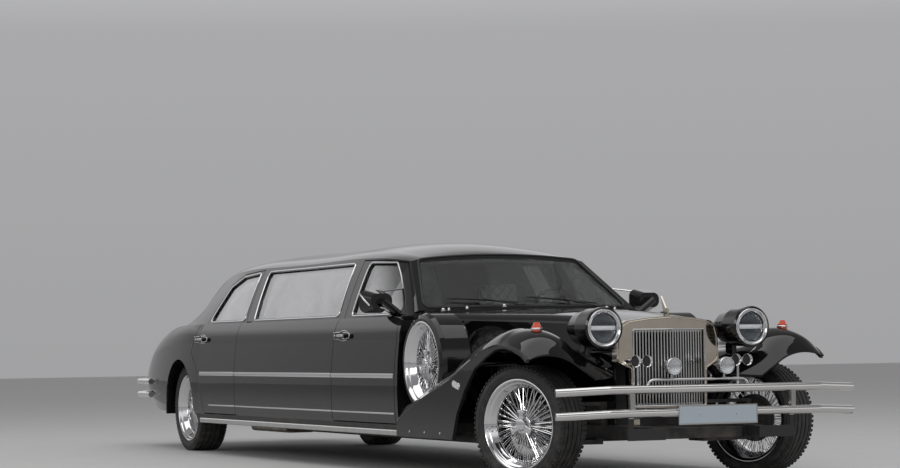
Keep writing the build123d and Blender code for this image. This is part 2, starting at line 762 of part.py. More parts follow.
with BuildPart() as front_fender_right:
    loft(sections=[fender_section(station) for station in fender_stations], ruled=True)
    # outer side with the arch over the wheel and the skirt behind it
    with BuildSketch(beside(-board_half + flange_gauge)):
        with BuildLine():
            Polyline(*[(front_axle_x + ahead, z) for ahead, z in flange_outline], close=True)
        make_face()
    extrude(amount=flange_gauge)
    # well for the spare wheel
    with BuildSketch(beside(-spare_face_y + 225)):
        with Locations((spare_x, spare_z)):
            Circle(spare_radius + 6)
    extrude(amount=225, mode=Mode.SUBTRACT)
    # ledge under the hood's side, and the wall of the engine bay
    with BuildSketch(Plane.XY.offset(ledge_z - fender_gauge)):
        with BuildLine():
            edge = [(front_axle_x + row[0], 6 - row[1]) for row in fender_stations[4:]]
            Polyline((edge[0][0], -inner_wall_y), *edge[1:], (edge[-1][0], -inner_wall_y), close=True)
        make_face()
    extrude(amount=fender_gauge)
    add(box((cowl_x, front_axle_x + 180), (-inner_wall_y - 12, -inner_wall_y), (rail_top_front_z, ledge_z)))
    # carrier of the spare wheel
    with BuildSketch(beside(-inner_wall_y - 6)):
        with Locations((spare_x, spare_z)):
            Circle(26)
    extrude(amount=spare_face_y - 108 - hub_back - 0.3 - inner_wall_y - 6)
sided["front_fender"] = front_fender_right.part

# Radiator shell with its ridge, and the grille bars in it
radiator_ridge_x = front_axle_x + 322
radiator_side_x = front_axle_x + 272
radiator_back_x = hood_front_x + 6
opening_half = 238
opening_top_z = 886
ridge_slope = (radiator_ridge_x - radiator_side_x) / radiator_half


def v_front(depth):
    """Outline from above of the vee front of the radiator, set back by a depth."""
    return [
        (radiator_ridge_x - depth, 0), (radiator_side_x - depth, radiator_half + 40),
        (radiator_back_x - 60, radiator_half + 40), (radiator_back_x - 60, -radiator_half - 40),
        (radiator_side_x - depth, -radiator_half - 40),
    ]


with BuildPart() as radiator_shell:
    with BuildSketch(across(radiator_back_x - 40)):
        with BuildLine():
            Polyline((0, radiator_bottom_z), (252, radiator_bottom_z), (258, 660), (radiator_half, 705),
                     (radiator_half - 6, 850))
            ThreePointArc((radiator_half - 6, 850), (322, 915), (262, 944))
            ThreePointArc((262, 944), (135, 960), (0, radiator_peak_z))
            mirror(about=Plane.YZ)
        make_face()
    extrude(amount=160)
    with BuildSketch(across(radiator_back_x - 60)):
        with Locations((0, (opening_top_z + radiator_bottom_z + 18) / 2)):
            Rectangle(2 * opening_half, opening_top_z - radiator_bottom_z - 18)
    extrude(amount=260, mode=Mode.SUBTRACT)
    with BuildSketch(beside(500)):
        with BuildLine():
            Polyline((radiator_back_x, 1200), (radiator_back_x, radiator_peak_z - 8),
                     (radiator_back_x - hood_rake, hood_side_z), (radiator_back_x - hood_rake, 300),
                     (radiator_ridge_x + 50, 300), (radiator_ridge_x + 50, 1200), close=True)
        make_face()
    extrude(amount=1000, mode=Mode.INTERSECT)
    with BuildSketch(Plane.XY.offset(radiator_bottom_z - 10)):
        with BuildLine():
            Polyline(*v_front(0), close=True)
        make_face()
    extrude(amount=600, mode=Mode.INTERSECT)
    for side in (1, -1):
        add(box((radiator_back_x + 26, radiator_back_x + 50), (side * 205, side * 245), (320, radiator_bottom_z + 4)))
    # generic swept fin on the cap
    with Locations((front_axle_x + 262, 0, radiator_peak_z - 6)):
        Cylinder(20, 34)
    with BuildSketch(beside(-5)):
        with BuildLine():
            Polyline((front_axle_x + 284, 978), (front_axle_x + 292, 1004), (front_axle_x + 262, 1016),
                     (front_axle_x + 208, 1088), (front_axle_x + 226, 1020), (front_axle_x + 244, 978), close=True)
        make_face()
    extrude(amount=-10)
finish(radiator_shell.part, "radiator_shell")

bar_count = 25
bar_width = 8
bar_pitch = 2 * opening_half / bar_count
with BuildPart() as grille:
    with BuildSketch(Plane.XY.offset(radiator_bottom_z + 18.3)) as bar_section:
        for index in range(bar_count):
            bar_y = (index - (bar_count - 1) / 2) * bar_pitch
            with Locations((radiator_ridge_x - 26 - abs(bar_y) * ridge_slope, bar_y)):
                Rectangle(22, bar_width)
    extrude(amount=opening_top_z - radiator_bottom_z - 18.6)
    for rail_low_z in (radiator_bottom_z + 18.3, opening_top_z - 12.3):
        with BuildSketch(Plane.XY.offset(rail_low_z)):
            with BuildLine():
                rail_half = opening_half - 0.3
                rail_end_x = radiator_ridge_x - 28 - opening_half * ridge_slope
                Polyline((radiator_ridge_x - 28, 0), (rail_end_x, rail_half), (rail_end_x - 16, rail_half),
                         (radiator_ridge_x - 44, 0), (rail_end_x - 16, -rail_half), (rail_end_x, -rail_half), close=True)
            make_face()
        extrude(amount=12)
finish(grille.part, "grille")

# Headlamps: bullet buckets on short feet, with their lenses
lens_x = front_axle_x + 400
bucket_profile = [  # ahead of the front axle, radius
    (404, 98), (412, 106), (414, 114), (408, headlamp_radius), (380, headlamp_radius), (374, 117), (260, 116),
    (150, 100), (70, 66), (30, 24), (24, 0),
]
with BuildPart() as headlamps:
    with BuildSketch(Plane.XZ):
        with BuildLine():
            Polyline((lens_x - 22, headlamp_z), (lens_x - 22, headlamp_z + 98),
                     *[(front_axle_x + ahead, headlamp_z + radius) for ahead, radius in bucket_profile], close=True)
        make_face()
    revolve(axis=Axis((0, 0, headlamp_z), (1, 0, 0)))
    with BuildSketch(Plane.XY.offset(728)):
        with Locations((front_axle_x + 170, 0)):
            SlotOverall(90, 40)
    extrude(amount=100)
bucket = headlamps.part
with BuildPart() as headlamp_lenses:
    with BuildSketch(Plane.XZ):
        with BuildLine():
            Polyline((lens_x - 21.7, headlamp_z), (lens_x - 21.7, headlamp_z + 97.7), (lens_x, headlamp_z + 97.7),
                     (lens_x + 6, headlamp_z + 60), (lens_x + 8, headlamp_z), close=True)
        make_face()
    revolve(axis=Axis((0, 0, headlamp_z), (1, 0, 0)))
lens = headlamp_lenses.part


def seated(piece):
    """The part of a piece that stands on the right fender."""
    with BuildPart() as standing:
        add(piece)
        add(front_fender_right.part, mode=Mode.SUBTRACT)
    return max(standing.solids(), key=lambda solid: solid.volume)


for name, piece in (("headlamps", bucket), ("headlamp_lenses", lens)):
    with BuildPart() as pair:
        add(seated(piece.moved(Location((0, -headlamp_y, 0)))))
        mirror(about=Plane.XZ)
    finish(pair.part, name)

# Lamp bar with fog lamps and trumpet horns
bar_x = front_axle_x + 618
bar_z = 598
leg_y = 335
fog_y = 175
fog_z = 675
horn_z = 706
rail_low_y = 290
rail_width = 100
rail_height = 75
with BuildPart() as lamp_bar:
    with BuildLine():
        FilletPolyline((bar_x, -leg_y, rail_top_front_z + 0.3), (bar_x, -leg_y, bar_z), (bar_x, leg_y, bar_z),
                       (bar_x, leg_y, rail_top_front_z + 0.3), radius=45)
    with BuildSketch(Plane(origin=(bar_x, -leg_y, rail_top_front_z + 0.3), z_dir=(0, 0, 1))):
        Circle(8)
    sweep()
    for side in (1, -1):
        with BuildSketch(Plane.XY.offset(bar_z)):
            with Locations((bar_x, side * fog_y)):
                Circle(7)
        extrude(amount=40)
        with BuildSketch(Plane(origin=(bar_x, side * fog_y, fog_z), x_dir=(0, 1, 0), z_dir=(1, 0, 0))):
            Circle(50)
        extrude(amount=42)
        with BuildSketch(Plane(origin=(bar_x, side * fog_y, fog_z), x_dir=(0, 1, 0), z_dir=(1, 0, 0))):
            Circle(50)
        extrude(amount=-45, taper=32)
        # horn carrier on the end of the bar, and two trumpets
        add(box((bar_x - 130, bar_x + 10), (side * leg_y - 10, side * leg_y + 10), (bar_z - 52, bar_z - 44)))
        with BuildSketch(Plane.XY.offset(bar_z - 50)):
            with Locations((bar_x - 110, side * leg_y)):
                Circle(8)
        extrude(amount=horn_z - bar_z + 40)
        for horn_y in (side * leg_y - 38, side * leg_y + 38):
            with BuildSketch(Plane(origin=(bar_x - 60, horn_y, horn_z), x_dir=(0, 1, 0), z_dir=(1, 0, 0))):
                Circle(34)
            extrude(amount=-48, taper=24)
            with BuildSketch(Plane(origin=(bar_x - 90, horn_y, horn_z), x_dir=(0, 1, 0), z_dir=(1, 0, 0))):
                Circle(13)
            extrude(amount=-80)
        add(box((bar_x - 140, bar_x - 100), (side * leg_y - 45, side * leg_y + 45), (horn_z - 12, horn_z + 6)))
finish(lamp_bar.part, "lamp_bar")

# Bumpers of two polished tubes
tube_end_back = 91
with BuildPart() as front_bumper:
    for tube_z in (upper_tube_z, lower_tube_z):
        with BuildLine():
            FilletPolyline((bumper_x - tube_end_back, -980, tube_z - 12), (bumper_x, -693, tube_z),
                           (bumper_x, 693, tube_z), (bumper_x - tube_end_back, 980, tube_z - 12), radius=70)
        with BuildSketch(Plane(origin=(bumper_x - tube_end_back, -980, tube_z - 12), z_dir=(tube_end_back, 287, 12))):
            Circle(bumper_tube_radius)
        sweep()
    for side in (1, -1):
        add(box((bumper_x - 46, bumper_x - 12), (side * 515, side * 545), (lower_tube_z - 22, upper_tube_z + 20)))
        add(box((bumper_x - 60, bumper_x - 36), (side * 310, side * 545), (rail_top_front_z - 70, rail_top_front_z - 5)))
        add(box((bumper_x - 46, bumper_x - 36), (side * 515, side * 545), (rail_top_front_z - 70, lower_tube_z)))
        add(box((front_axle_x + 645.3, bumper_x - 40), (side * 310, side * 370),
                (rail_top_front_z - 70, rail_top_front_z - 5)))
    # carrier of the number plate
    add(box((bumper_x + bumper_tube_radius - 6, front_end_x), (-260, 260), (345, 455)))
    with BuildSketch(across(front_end_x)):
        with Locations((-120, 400), (120, 400)):
            Circle(3)
    extrude(amount=-12, mode=Mode.SUBTRACT)
finish(front_bumper.part, "front_bumper")

rear_bumper_x = rear_end_x + bumper_tube_radius
with BuildPart() as rear_bumper:
    for tube_z in (upper_tube_z, lower_tube_z + 25):
        with BuildLine():
            FilletPolyline((rear_axle_x - 880, -925, tube_z), (rear_axle_x - 1300, -895, tube_z),
                           (rear_bumper_x, -800, tube_z), (rear_bumper_x, 800, tube_z),
                           (rear_axle_x - 1300, 895, tube_z), (rear_axle_x - 880, 925, tube_z), radius=60)
        with BuildSketch(Plane(origin=(rear_axle_x - 880, -925, tube_z), z_dir=(-420, 30, 0))):
            Circle(bumper_tube_radius)
        sweep()
    for side in (1, -1):
        add(box((rear_bumper_x + 12, rear_bumper_x + 40), (side * 515, side * 545),
                (lower_tube_z + 3, upper_tube_z + 20)))
        add(box((rear_bumper_x + 12, tail_x - 0.3), (side * 322, side * 545), (lower_tube_z + 3, lower_tube_z + 33)))
        add(box((tail_x - 0.3 - 24, tail_x - 0.3), (side * 322, side * 362), (lower_tube_z - 5, lower_tube_z + 60)))
finish(rear_bumper.part, "rear_bumper")

# Running boards between the fender skirts and the rear wheels
board_front_x = cowl_x
board_rear_x = front_axle_x - 5330
with BuildPart() as running_boards:
    for side in (1, -1):
        with BuildSketch(across(board_rear_x)):
            with Locations((side * (board_half - 45), (board_top_z + board_bottom_z) / 2)):
                RectangleRounded(90, board_top_z - board_bottom_z, 12)
        extrude(amount=board_front_x - 0.3 - board_rear_x)
    add(outer_form.part, mode=Mode.SUBTRACT)
finish(running_boards.part, "running_boards")

# Chassis frame: two rails, crossmembers and the arms of the front suspension
# columns: distance back from the front axle, z of the rail's top
rail_line = [
    (-645, rail_top_front_z), (1330, rail_top_front_z), (1462, sill_z), (5630, sill_z), (5745, 505), (6130, 505),
    (6222, 262), (6330, 262), (6870, 300), (7060, 318),
]
hub_z = tyre_radius
lower_arm_z = 230
upper_arm_z = 455
ball_radius = 20
with BuildPart() as chassis_frame:
    for side in (1, -1):
        with BuildSketch(beside(side * rail_low_y)):
            with BuildLine():
                Polyline(*[(front_axle_x - back, z) for back, z in rail_line],
                         *[(front_axle_x - back, z - rail_height) for back, z in reversed(rail_line)], close=True)
            make_face()
        extrude(amount=rail_width, dir=(0, side, 0))
        # arms of the front suspension, out to the ball joints, and the spring tower
        with BuildSketch(Plane.XY.offset(lower_arm_z - 14)):
            with BuildLine():
                Polyline((front_axle_x + 85, side * 352), (front_axle_x + 24, side * (kingpin_half_track - 14)),
                         (front_axle_x - 24, side * (kingpin_half_track - 14)), (front_axle_x - 85, side * 352),
                         close=True)
            make_face()
        extrude(amount=28)
        with BuildSketch(Plane.XY.offset(upper_arm_z - 10)):
            with BuildLine():
                Polyline((front_axle_x + 90, side * 330), (front_axle_x + 20, side * (kingpin_half_track - 14)),
                         (front_axle_x - 20, side * (kingpin_half_track - 14)), (front_axle_x - 90, side * 330),
                         close=True)
            make_face()
        extrude(amount=20)
        for ball_z, tall in ((lower_arm_z - 14, 28), (upper_arm_z - 10, 20)):
            with BuildSketch(Plane.XY.offset(ball_z)):
                with Locations((front_axle_x, side * kingpin_half_track)):
                    Circle(ball_radius + 4)
            extrude(amount=tall)
        add(box((front_axle_x - 95, front_axle_x + 95), (side * 314, side * 352),
                (rail_top_front_z - 20, upper_arm_z + 12)))
        add(box((front_axle_x - 85, front_axle_x + 85), (side * 340, side * 384),
                (lower_arm_z - 14, rail_top_front_z - rail_height + 6)))
    cross_columns = [  # distance back from the front axle, length, z of the top, height
        (-600, 60, 320, 60), (-279, 50, 320, 50), (0, 260, 320, 62), (1300, 90, 279.7, 40), (2900, 80, sill_z, 55), (4300, 80, sill_z, 55),
        (5500, 90, sill_z, 60), (5925, 70, 500, 40), (7000, 60, 300, 50),
    ]
    for back, length, top, tall in cross_columns:
        add(box((front_axle_x - back - length / 2, front_axle_x - back + length / 2), (-300, 300), (top - tall, top)))
finish(chassis_frame.part, "chassis_frame")

# Engine, one block on the front crossmember, with its gearbox
engine_front_x = front_axle_x + 70
with BuildPart() as engine:
    with BuildSketch(Plane.XY.offset(320.3)):
        with Locations((front_axle_x - 300, 0)):
            Rectangle(740, 540)
    extrude(amount=380)
    fillet(engine.edges().filter_by(Axis.X), 40)
    with BuildSketch(across(front_axle_x - 640)):
        with Locations((0, 340)):
            Circle(60)
    extrude(amount=-700)
finish(engine.part, "engine")

# Rear axle with its differential and the propeller shaft
axle_z = tyre_radius
shaft_z = 340
with BuildPart() as rear_axle:
    with BuildSketch(beside(-596)):
        with Locations((rear_axle_x, axle_z)):
            Circle(38)
    extrude(amount=-1192)
    with BuildSketch(across(rear_axle_x - 110)):
        with Locations((0, axle_z)):
            Circle(78)
    extrude(amount=110)
    with BuildSketch(across(rear_axle_x)):
        with Locations((0, axle_z)):
            Circle(110)
    extrude(amount=110, taper=16)
    with BuildSketch(across(rear_axle_x + 80)):
        with Locations((0, shaft_z)):
            Circle(38)
    extrude(amount=wheelbase - 80 - 1340.3)
    for side in (1, -1):
        # spring links up to the frame
        add(box((rear_axle_x - 36, rear_axle_x + 36), (side * 310, side * 370), (axle_z, 429.7)))
        with BuildSketch(beside(side * 590)):
            with Locations((rear_axle_x, axle_z)):
                Circle(26)
        extrude(amount=rear_track / 2 - hub_back - 0.3 - 590, dir=(0, side, 0))
finish(rear_axle.part, "rear_axle")

# Exhaust under the floor and the fuel tank behind the axle
with BuildPart() as exhaust:
    for side in (1, -1):
        with BuildSketch(across(front_axle_x - 5050)):
            with Locations((side * 560, sill_z - 0.3 - 36)):
                RectangleRounded(230, 72, 30)
        extrude(amount=760)
        with BuildSketch(across(front_axle_x - 4300)):
            with Locations((side * 500, sill_z - 36)):
                Circle(24)
        extrude(amount=2600)
finish(exhaust.part, "exhaust")
with BuildPart() as fuel_tank:
    with BuildSketch(across(rear_axle_x - 990)):
        with Locations((0, 235)):
            RectangleRounded(2 * rail_low_y - 0.6, 100, 30)
    extrude(amount=430)
finish(fuel_tank.part, "fuel_tank")


# Wheels: wire wheels with a deep lip, crossed spokes and an eared nut; the tyres over them
# columns: radius, place along the axle, outwards positive
rim_profile = [
    (266, 107), (266, 97), (252, 92), (249, 60), (238, 20), (238, -40), (249, -80), (252, -92), (266, -97),
    (266, -107), (258, -107), (244, -96), (241, -82), (230, -42), (230, 22), (241, 62), (244, 94), (258, 107),
]
tyre_profile = [
    (252.3, 0), (252.3, 91), (266.4, 96.3), (268, 108), (285, 117), (318, 118), (337, 104), (tyre_radius, 82),
]
hub_face = 58
spoke_rows = [  # place at the hub, place at the rim, twist at the rim in degrees
    (46, 66, 9), (34, 52, -9),
]
with BuildPart() as wire_wheel:
    with BuildSketch(Plane.XZ):
        with BuildLine():
            Polyline(*rim_profile, close=True)
        make_face()
    revolve(axis=Axis.Z)
    with BuildSketch(Plane.XZ):
        with BuildLine():
            Polyline((0, -hub_back), (62, -hub_back), (66, -20), (54, 0), (hub_radius, hub_face), (38, 66), (34, 84), (0, 92),
                     close=True)
        make_face()
    revolve(axis=Axis.Z)
    # three ears of the nut
    with BuildSketch(Plane.XY.offset(64)):
        with PolarLocations(0, 3):
            with BuildLine(mode=Mode.PRIVATE) as ear:
                Polyline((20, -16), (74, -24), (84, 0), (74, 24), (20, 16), close=True)
            make_face(ear.line)
    extrude(amount=16)
for row_hub, row_rim, twist in spoke_rows:
    hub_point = Vector(hub_radius - 6, 0, row_hub)
    rim_point = Vector(242, 0, row_rim).rotate(Axis.Z, twist)
    run = rim_point - hub_point
    with BuildPart() as spoke:
        with BuildSketch(Plane(origin=hub_point, z_dir=run)):
            Rectangle(spoke_size, spoke_size)
        extrude(amount=run.length)
    with wire_wheel:
        with PolarLocations(0, spoke_count // 2):
            add(spoke.part)
with BuildPart() as tyre:
    with BuildSketch(Plane.XZ):
        with BuildLine():
            Polyline(*tyre_profile, *[(radius, -place) for radius, place in reversed(tyre_profile[1:])], close=True)
        make_face()
    revolve(axis=Axis.Z)


def wheel_place(x, y, z, turn):
    """Places a wheel whose axle points outwards at y, turned about the vertical by an angle."""
    outwards = Vector(0, 1 if y > 0 else -1, 0).rotate(Axis.Z, turn)
    return Location(Plane(origin=(x, y, z), x_dir=(0, 0, 1), z_dir=outwards))


kingpin_to_wheel = front_track / 2 - kingpin_half_track
wheel_spots = {}
for name, side in (("right", -1), ("left", 1)):
    arm = Vector(0, side * kingpin_to_wheel, 0).rotate(Axis.Z, steer_angle)
    wheel_spots["front_" + name] = wheel_place(
        front_axle_x + arm.X, side * kingpin_half_track + arm.Y, tyre_radius, steer_angle)
    wheel_spots["rear_" + name] = wheel_place(rear_axle_x, side * rear_track / 2, tyre_radius, 0)
for name, spot in wheel_spots.items():
    finish(wire_wheel.part.moved(spot), "wheel_" + name)
    finish(tyre.part.moved(spot), "tyre_" + name)

# Knuckles, on the kingpins, and the tie rod between them
spindle_end = kingpin_to_wheel - hub_back - 0.3
for name, side in (("right", -1), ("left", 1)):
    with BuildPart() as knuckle:
        with BuildSketch(Plane.XY.offset(lower_arm_z + 14.3)):
            Circle(ball_radius)
        extrude(amount=upper_arm_z - 10.3 - lower_arm_z - 14.3)
        with BuildSketch(Plane(origin=(0, 0, tyre_radius), x_dir=(1, 0, 0), z_dir=(0, side, 0))):
            Circle(36)
        extrude(amount=spindle_end)
        with BuildSketch(Plane(origin=(0, side * 32, tyre_radius), x_dir=(1, 0, 0), z_dir=(0, side, 0))):
            Circle(140)
        extrude(amount=8)
        # steering arm to the rear
        with BuildSketch(Plane.XY.offset(tie_rod_z + 14.3)):
            with Locations((-steer_arm_length / 2, 0)):
                SlotOverall(steer_arm_length + 40, 34)
        extrude(amount=20)
    turned = knuckle.part.rotate(Axis.Z, steer_angle).moved(
        Location((front_axle_x, side * kingpin_half_track, 0)))
    finish(turned, "knuckle_" + name)
arm_end = Vector(-steer_arm_length, 0, 0).rotate(Axis.Z, steer_angle)
with BuildPart() as tie_rod:
    with BuildSketch(beside(-kingpin_half_track + arm_end.Y)):
        with Locations((front_axle_x + arm_end.X, tie_rod_z)):
            Circle(11)
    extrude(amount=-2 * kingpin_half_track)
    with BuildSketch(Plane.XY.offset(tie_rod_z - 14)):
        with Locations((front_axle_x + arm_end.X, -kingpin_half_track + arm_end.Y),
                       (front_axle_x + arm_end.X, kingpin_half_track + arm_end.Y)):
            Circle(17)
    extrude(amount=28)
finish(tie_rod.part, "tie_rod")

# Spare wheels standing in the wells, in their covers
with BuildPart() as spare_wheels:
    for side in (1, -1):
        add(wire_wheel.part.moved(wheel_place(spare_x, side * (spare_face_y - 108), spare_z, 0)))
finish(spare_wheels.part, "spare_wheels")
with BuildPart() as spare_cover:
    with BuildSketch(Plane.XZ):
        with BuildLine():
            Polyline((266.3, -109), (spare_radius - 14, -109), (spare_radius, -90), (spare_radius, 70),
                     (spare_radius - 12, 98), (spare_radius - 34, 108), (266.3, 108), close=True)
        make_face()
    revolve(axis=Axis.Z)
with BuildPart() as spare_covers:
    for side in (1, -1):
        add(spare_cover.part.moved(wheel_place(spare_x, side * (spare_face_y - 108), spare_z, 0)))
finish(spare_covers.part, "spare_covers")

# Seats: two front seats, a side bench and a rear bench
cabin_floor_z = sill_top_z - 20
seat_profile = [  # distance back from the front axle, z
    (2330, cabin_floor_z + 0.3), (2330, 520), (2350, 562), (2390, 572), (2740, 540), (2800, 590), (2880, 1060),
    (2945, 1085), (2975, 1040), (2880, 500), (2850, cabin_floor_z + 0.3),
]
rear_bench_profile = [
    (5440, cabin_floor_z + 0.3), (5440, 600), (5470, 645), (5790, 620), (5835, 985), (5870, 1015), (5949.5, 1015),
    (5949.5, hump_top_z + 0.3), (5631, hump_top_z + 0.3), (5590, cabin_floor_z + 0.3),
]
side_bench_profile = [  # y, z
    (874, cabin_floor_z + 0.3), (480, cabin_floor_z + 0.3), (470, 530), (500, 570), (720, 585), (770, 880), (800, 910),
    (874, 910),
]
seat_half = 250
seat_y = 440
with BuildPart() as seats:
    for side in (1, -1):
        with BuildSketch(beside(side * seat_y + seat_half)):
            with BuildLine():
                Polyline(*[(front_axle_x - back, z) for back, z in seat_profile], close=True)
            make_face()
        extrude(amount=2 * seat_half)
        with BuildSketch(across(front_axle_x - 2990)):
            with Locations((side * seat_y, 1165)):
                RectangleRounded(290, 170, 55)
        extrude(amount=105)
        with BuildSketch(across(front_axle_x - 2965)):
            with Locations((side * seat_y, 1075)):
                Rectangle(60, 60)
        extrude(amount=50)
    with BuildSketch(across(front_axle_x - 4420)):
        with BuildLine():
            Polyline(*side_bench_profile, close=True)
        make_face()
    extrude(amount=1340)
    with BuildSketch(beside(596)):
        with BuildLine():
            Polyline(*[(front_axle_x - back, z) for back, z in rear_bench_profile], close=True)
        make_face()
    extrude(amount=1192)
    add(box((front_axle_x - 5700, front_axle_x - 5300), (-tunnel_half - 0.3, tunnel_half + 0.3), (0, tunnel_top_z + 0.3)),
        mode=Mode.SUBTRACT)
finish(seats.part, "seats")

# Dashboard with the steering column and its wheel on the left
dash_profile = [
    (1500.3, 600), (1500.3, 960), (1620, 1000), (1740, 1002), (1880, 960), (1915, 900), (1890, 760), (1800, 640),
]
steering_y = 440
steering_wheel_radius = 185
column_foot = Vector(front_axle_x - 1800, steering_y, 780)
column_head = Vector(front_axle_x - 2110, steering_y, 880)
with BuildPart() as dashboard:
    with BuildSketch(beside(868)):
        with BuildLine():
            Polyline(*[(front_axle_x - back, z) for back, z in dash_profile], close=True)
        make_face()
    extrude(amount=1736)
    add(cabin_hollow.part, mode=Mode.INTERSECT)
    for side in (1, -1):
        add(box((front_axle_x - 2000, front_axle_x - 1450), (side * 790, side * 900), (950, 1100)), mode=Mode.SUBTRACT)
    with BuildSketch(Plane(origin=column_foot, z_dir=column_head - column_foot)):
        Circle(30)
    extrude(amount=(column_head - column_foot).length)
    rim_plane = Plane(origin=column_head, x_dir=(0, 1, 0), z_dir=column_head - column_foot)
    with BuildSketch(rim_plane):
        Circle(62)
    extrude(amount=24)
    with BuildSketch(rim_plane.offset(4)):
        Rectangle(2 * steering_wheel_radius - 10, 40)
        with Locations((0, 0)):
            Circle(62)
    extrude(amount=12)
    with BuildSketch(Plane(origin=rim_plane.origin + rim_plane.z_dir * 10, x_dir=rim_plane.x_dir,
                           z_dir=rim_plane.y_dir)):
        with Locations((steering_wheel_radius, 0)):
            Circle(14)
    revolve(axis=Axis(rim_plane.origin, rim_plane.z_dir))
finish(dashboard.part, "dashboard")

# Partition behind the front seats, fitted to the cabin
partition_x = front_axle_x - 3040
with BuildPart() as partition:
    add(cabin_hollow.part)
    add(box((partition_x, partition_x + 30), (-1000, 1000), (200, 1600)), mode=Mode.INTERSECT)
    add(box((partition_x - 5, partition_x + 40), (-tunnel_half, tunnel_half), (100, tunnel_top_z)), mode=Mode.SUBTRACT)
finish(partition.part, "partition")

# Signal lamps: domes on the wings, side markers and tail lamps
dome_x = front_axle_x + 215
dome_y = 835
with BuildPart() as dome:
    with BuildSketch(Plane.XY.offset(876)):
        with Locations((dome_x, -dome_y)):
            Circle(30)
    extrude(amount=38)
    with BuildSketch(Plane.XY.offset(914)):
        with Locations((dome_x, -dome_y)):
            Circle(26)
    extrude(amount=24, taper=24)
with BuildPart() as signal_lamps:
    add(seated(dome.part))
    with BuildSketch(beside(-board_half)):
        with Locations((front_axle_x - 545, 572)):
            SlotOverall(95, 30, rotation=-14)
    extrude(amount=9)
    with BuildSketch(across(tail_x - 22)):
        with BuildLine():
            Polyline((-614, 620), (-614, 800), (-672, 812), (-728, 770), (-750, 620), close=True)
        make_face()
    extrude(amount=21.7)
    mirror(about=Plane.XZ)
finish(signal_lamps.part, "signal_lamps")

# Pieces that stand on both sides
for name, piece in sided.items():
    finish(piece, name + "_right")
    finish(mirror(piece, about=Plane.XZ), name + "_left")
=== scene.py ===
import math

import bmesh
import bpy
from mathutils import Matrix, Vector
from mathutils.bvhtree import BVHTree


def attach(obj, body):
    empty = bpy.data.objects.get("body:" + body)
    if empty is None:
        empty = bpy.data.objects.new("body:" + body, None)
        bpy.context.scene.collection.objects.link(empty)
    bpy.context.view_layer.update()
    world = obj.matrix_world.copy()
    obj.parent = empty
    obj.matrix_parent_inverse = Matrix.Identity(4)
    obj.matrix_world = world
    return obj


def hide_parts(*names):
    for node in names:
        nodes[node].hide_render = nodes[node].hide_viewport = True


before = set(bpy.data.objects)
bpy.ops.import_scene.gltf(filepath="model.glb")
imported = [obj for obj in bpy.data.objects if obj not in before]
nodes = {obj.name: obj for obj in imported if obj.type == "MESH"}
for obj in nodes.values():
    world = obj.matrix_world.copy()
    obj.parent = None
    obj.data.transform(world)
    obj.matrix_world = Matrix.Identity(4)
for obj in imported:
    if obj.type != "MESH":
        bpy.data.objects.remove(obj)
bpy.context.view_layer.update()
frontAxle = 3.255
rearAxle = -2.665
bothSides = (("right", -1), ("left", 1))
print("frame loaded:", len(nodes), "nodes")

# camera, fitted to the photograph
cameraPlan = {"place": (16.105, -7.19, 0.8), "yaw": 24.7, "pitch": 2.66, "roll": -0.77, "lens": 97.6}


def placeCamera(plan):
    yaw, pitch, roll = (math.radians(plan[key]) for key in ("yaw", "pitch", "roll"))
    forward = Vector((-math.cos(yaw) * math.cos(pitch), math.sin(yaw) * math.cos(pitch), math.sin(pitch)))
    right = forward.cross(Vector((0, 0, 1))).normalized()
    up = right.cross(forward)
    rolledRight = right * math.cos(roll) + up * math.sin(roll)
    rolledUp = up * math.cos(roll) - right * math.sin(roll)
    lensData = bpy.data.cameras.new("photoCamera")
    lensData.lens = plan["lens"]
    lensData.sensor_width = 36
    lensData.clip_end = 200
    camera = bpy.data.objects.new("photoCamera", lensData)
    bpy.context.collection.objects.link(camera)
    turn = Matrix((rolledRight, rolledUp, -forward)).transposed().to_4x4()
    camera.matrix_world = Matrix.Translation(plan["place"]) @ turn
    bpy.context.scene.camera = camera


placeCamera(cameraPlan)
bpy.context.scene.view_settings.view_transform = "Standard"


# node helpers, and the groups that several finishes share
def connect(tree, value, socket):
    if hasattr(value, "is_linked"):
        tree.links.new(value, socket)
    else:
        socket.default_value = (*value, 1) if socket.type == "RGBA" else value


def toShader(tree, output, target):
    if target:
        tree.links.new(output, tree.nodes["Principled BSDF"].inputs[target])
    return output


def settle(tree, values):
    for target, value in values.items():
        connect(tree, value, tree.nodes["Principled BSDF"].inputs[target])


def mathNode(tree, operation, *values, clamp=False):
    node = tree.nodes.new("ShaderNodeMath")
    node.operation = operation
    node.use_clamp = clamp
    for value, socket in zip(values, node.inputs):
        connect(tree, value, socket)
    return node.outputs["Value"]


def objectParts(tree):
    # Object coordinates, whole and split in X, Y and Z
    coords = tree.nodes.new("ShaderNodeTexCoord").outputs["Object"]
    parts = tree.nodes.new("ShaderNodeSeparateXYZ")
    tree.links.new(coords, parts.inputs["Vector"])
    return coords, parts.outputs


def rangeOf(tree, value, low, high, target=None, start=0.0, end=1.0):
    node = tree.nodes.new("ShaderNodeMapRange")
    connect(tree, start, node.inputs["From Min"])
    connect(tree, end, node.inputs["From Max"])
    node.inputs["To Min"].default_value = low
    node.inputs["To Max"].default_value = high
    tree.links.new(value, node.inputs["Value"])
    return toShader(tree, node.outputs["Result"], target)


def maskBelow(tree, value, limit, width=0.002):
    return rangeOf(tree, value, 1, 0, start=limit - width, end=limit + width)


def newGroup(name, inputs, outputs):
    group = bpy.data.node_groups.new(name, "ShaderNodeTree")
    for label, kind, value in inputs:
        group.interface.new_socket(label, in_out="INPUT", socket_type=kind).default_value = value
    for label, kind in outputs:
        group.interface.new_socket(label, in_out="OUTPUT", socket_type=kind)
    return group, group.nodes.new("NodeGroupInput").outputs, group.nodes.new("NodeGroupOutput").inputs


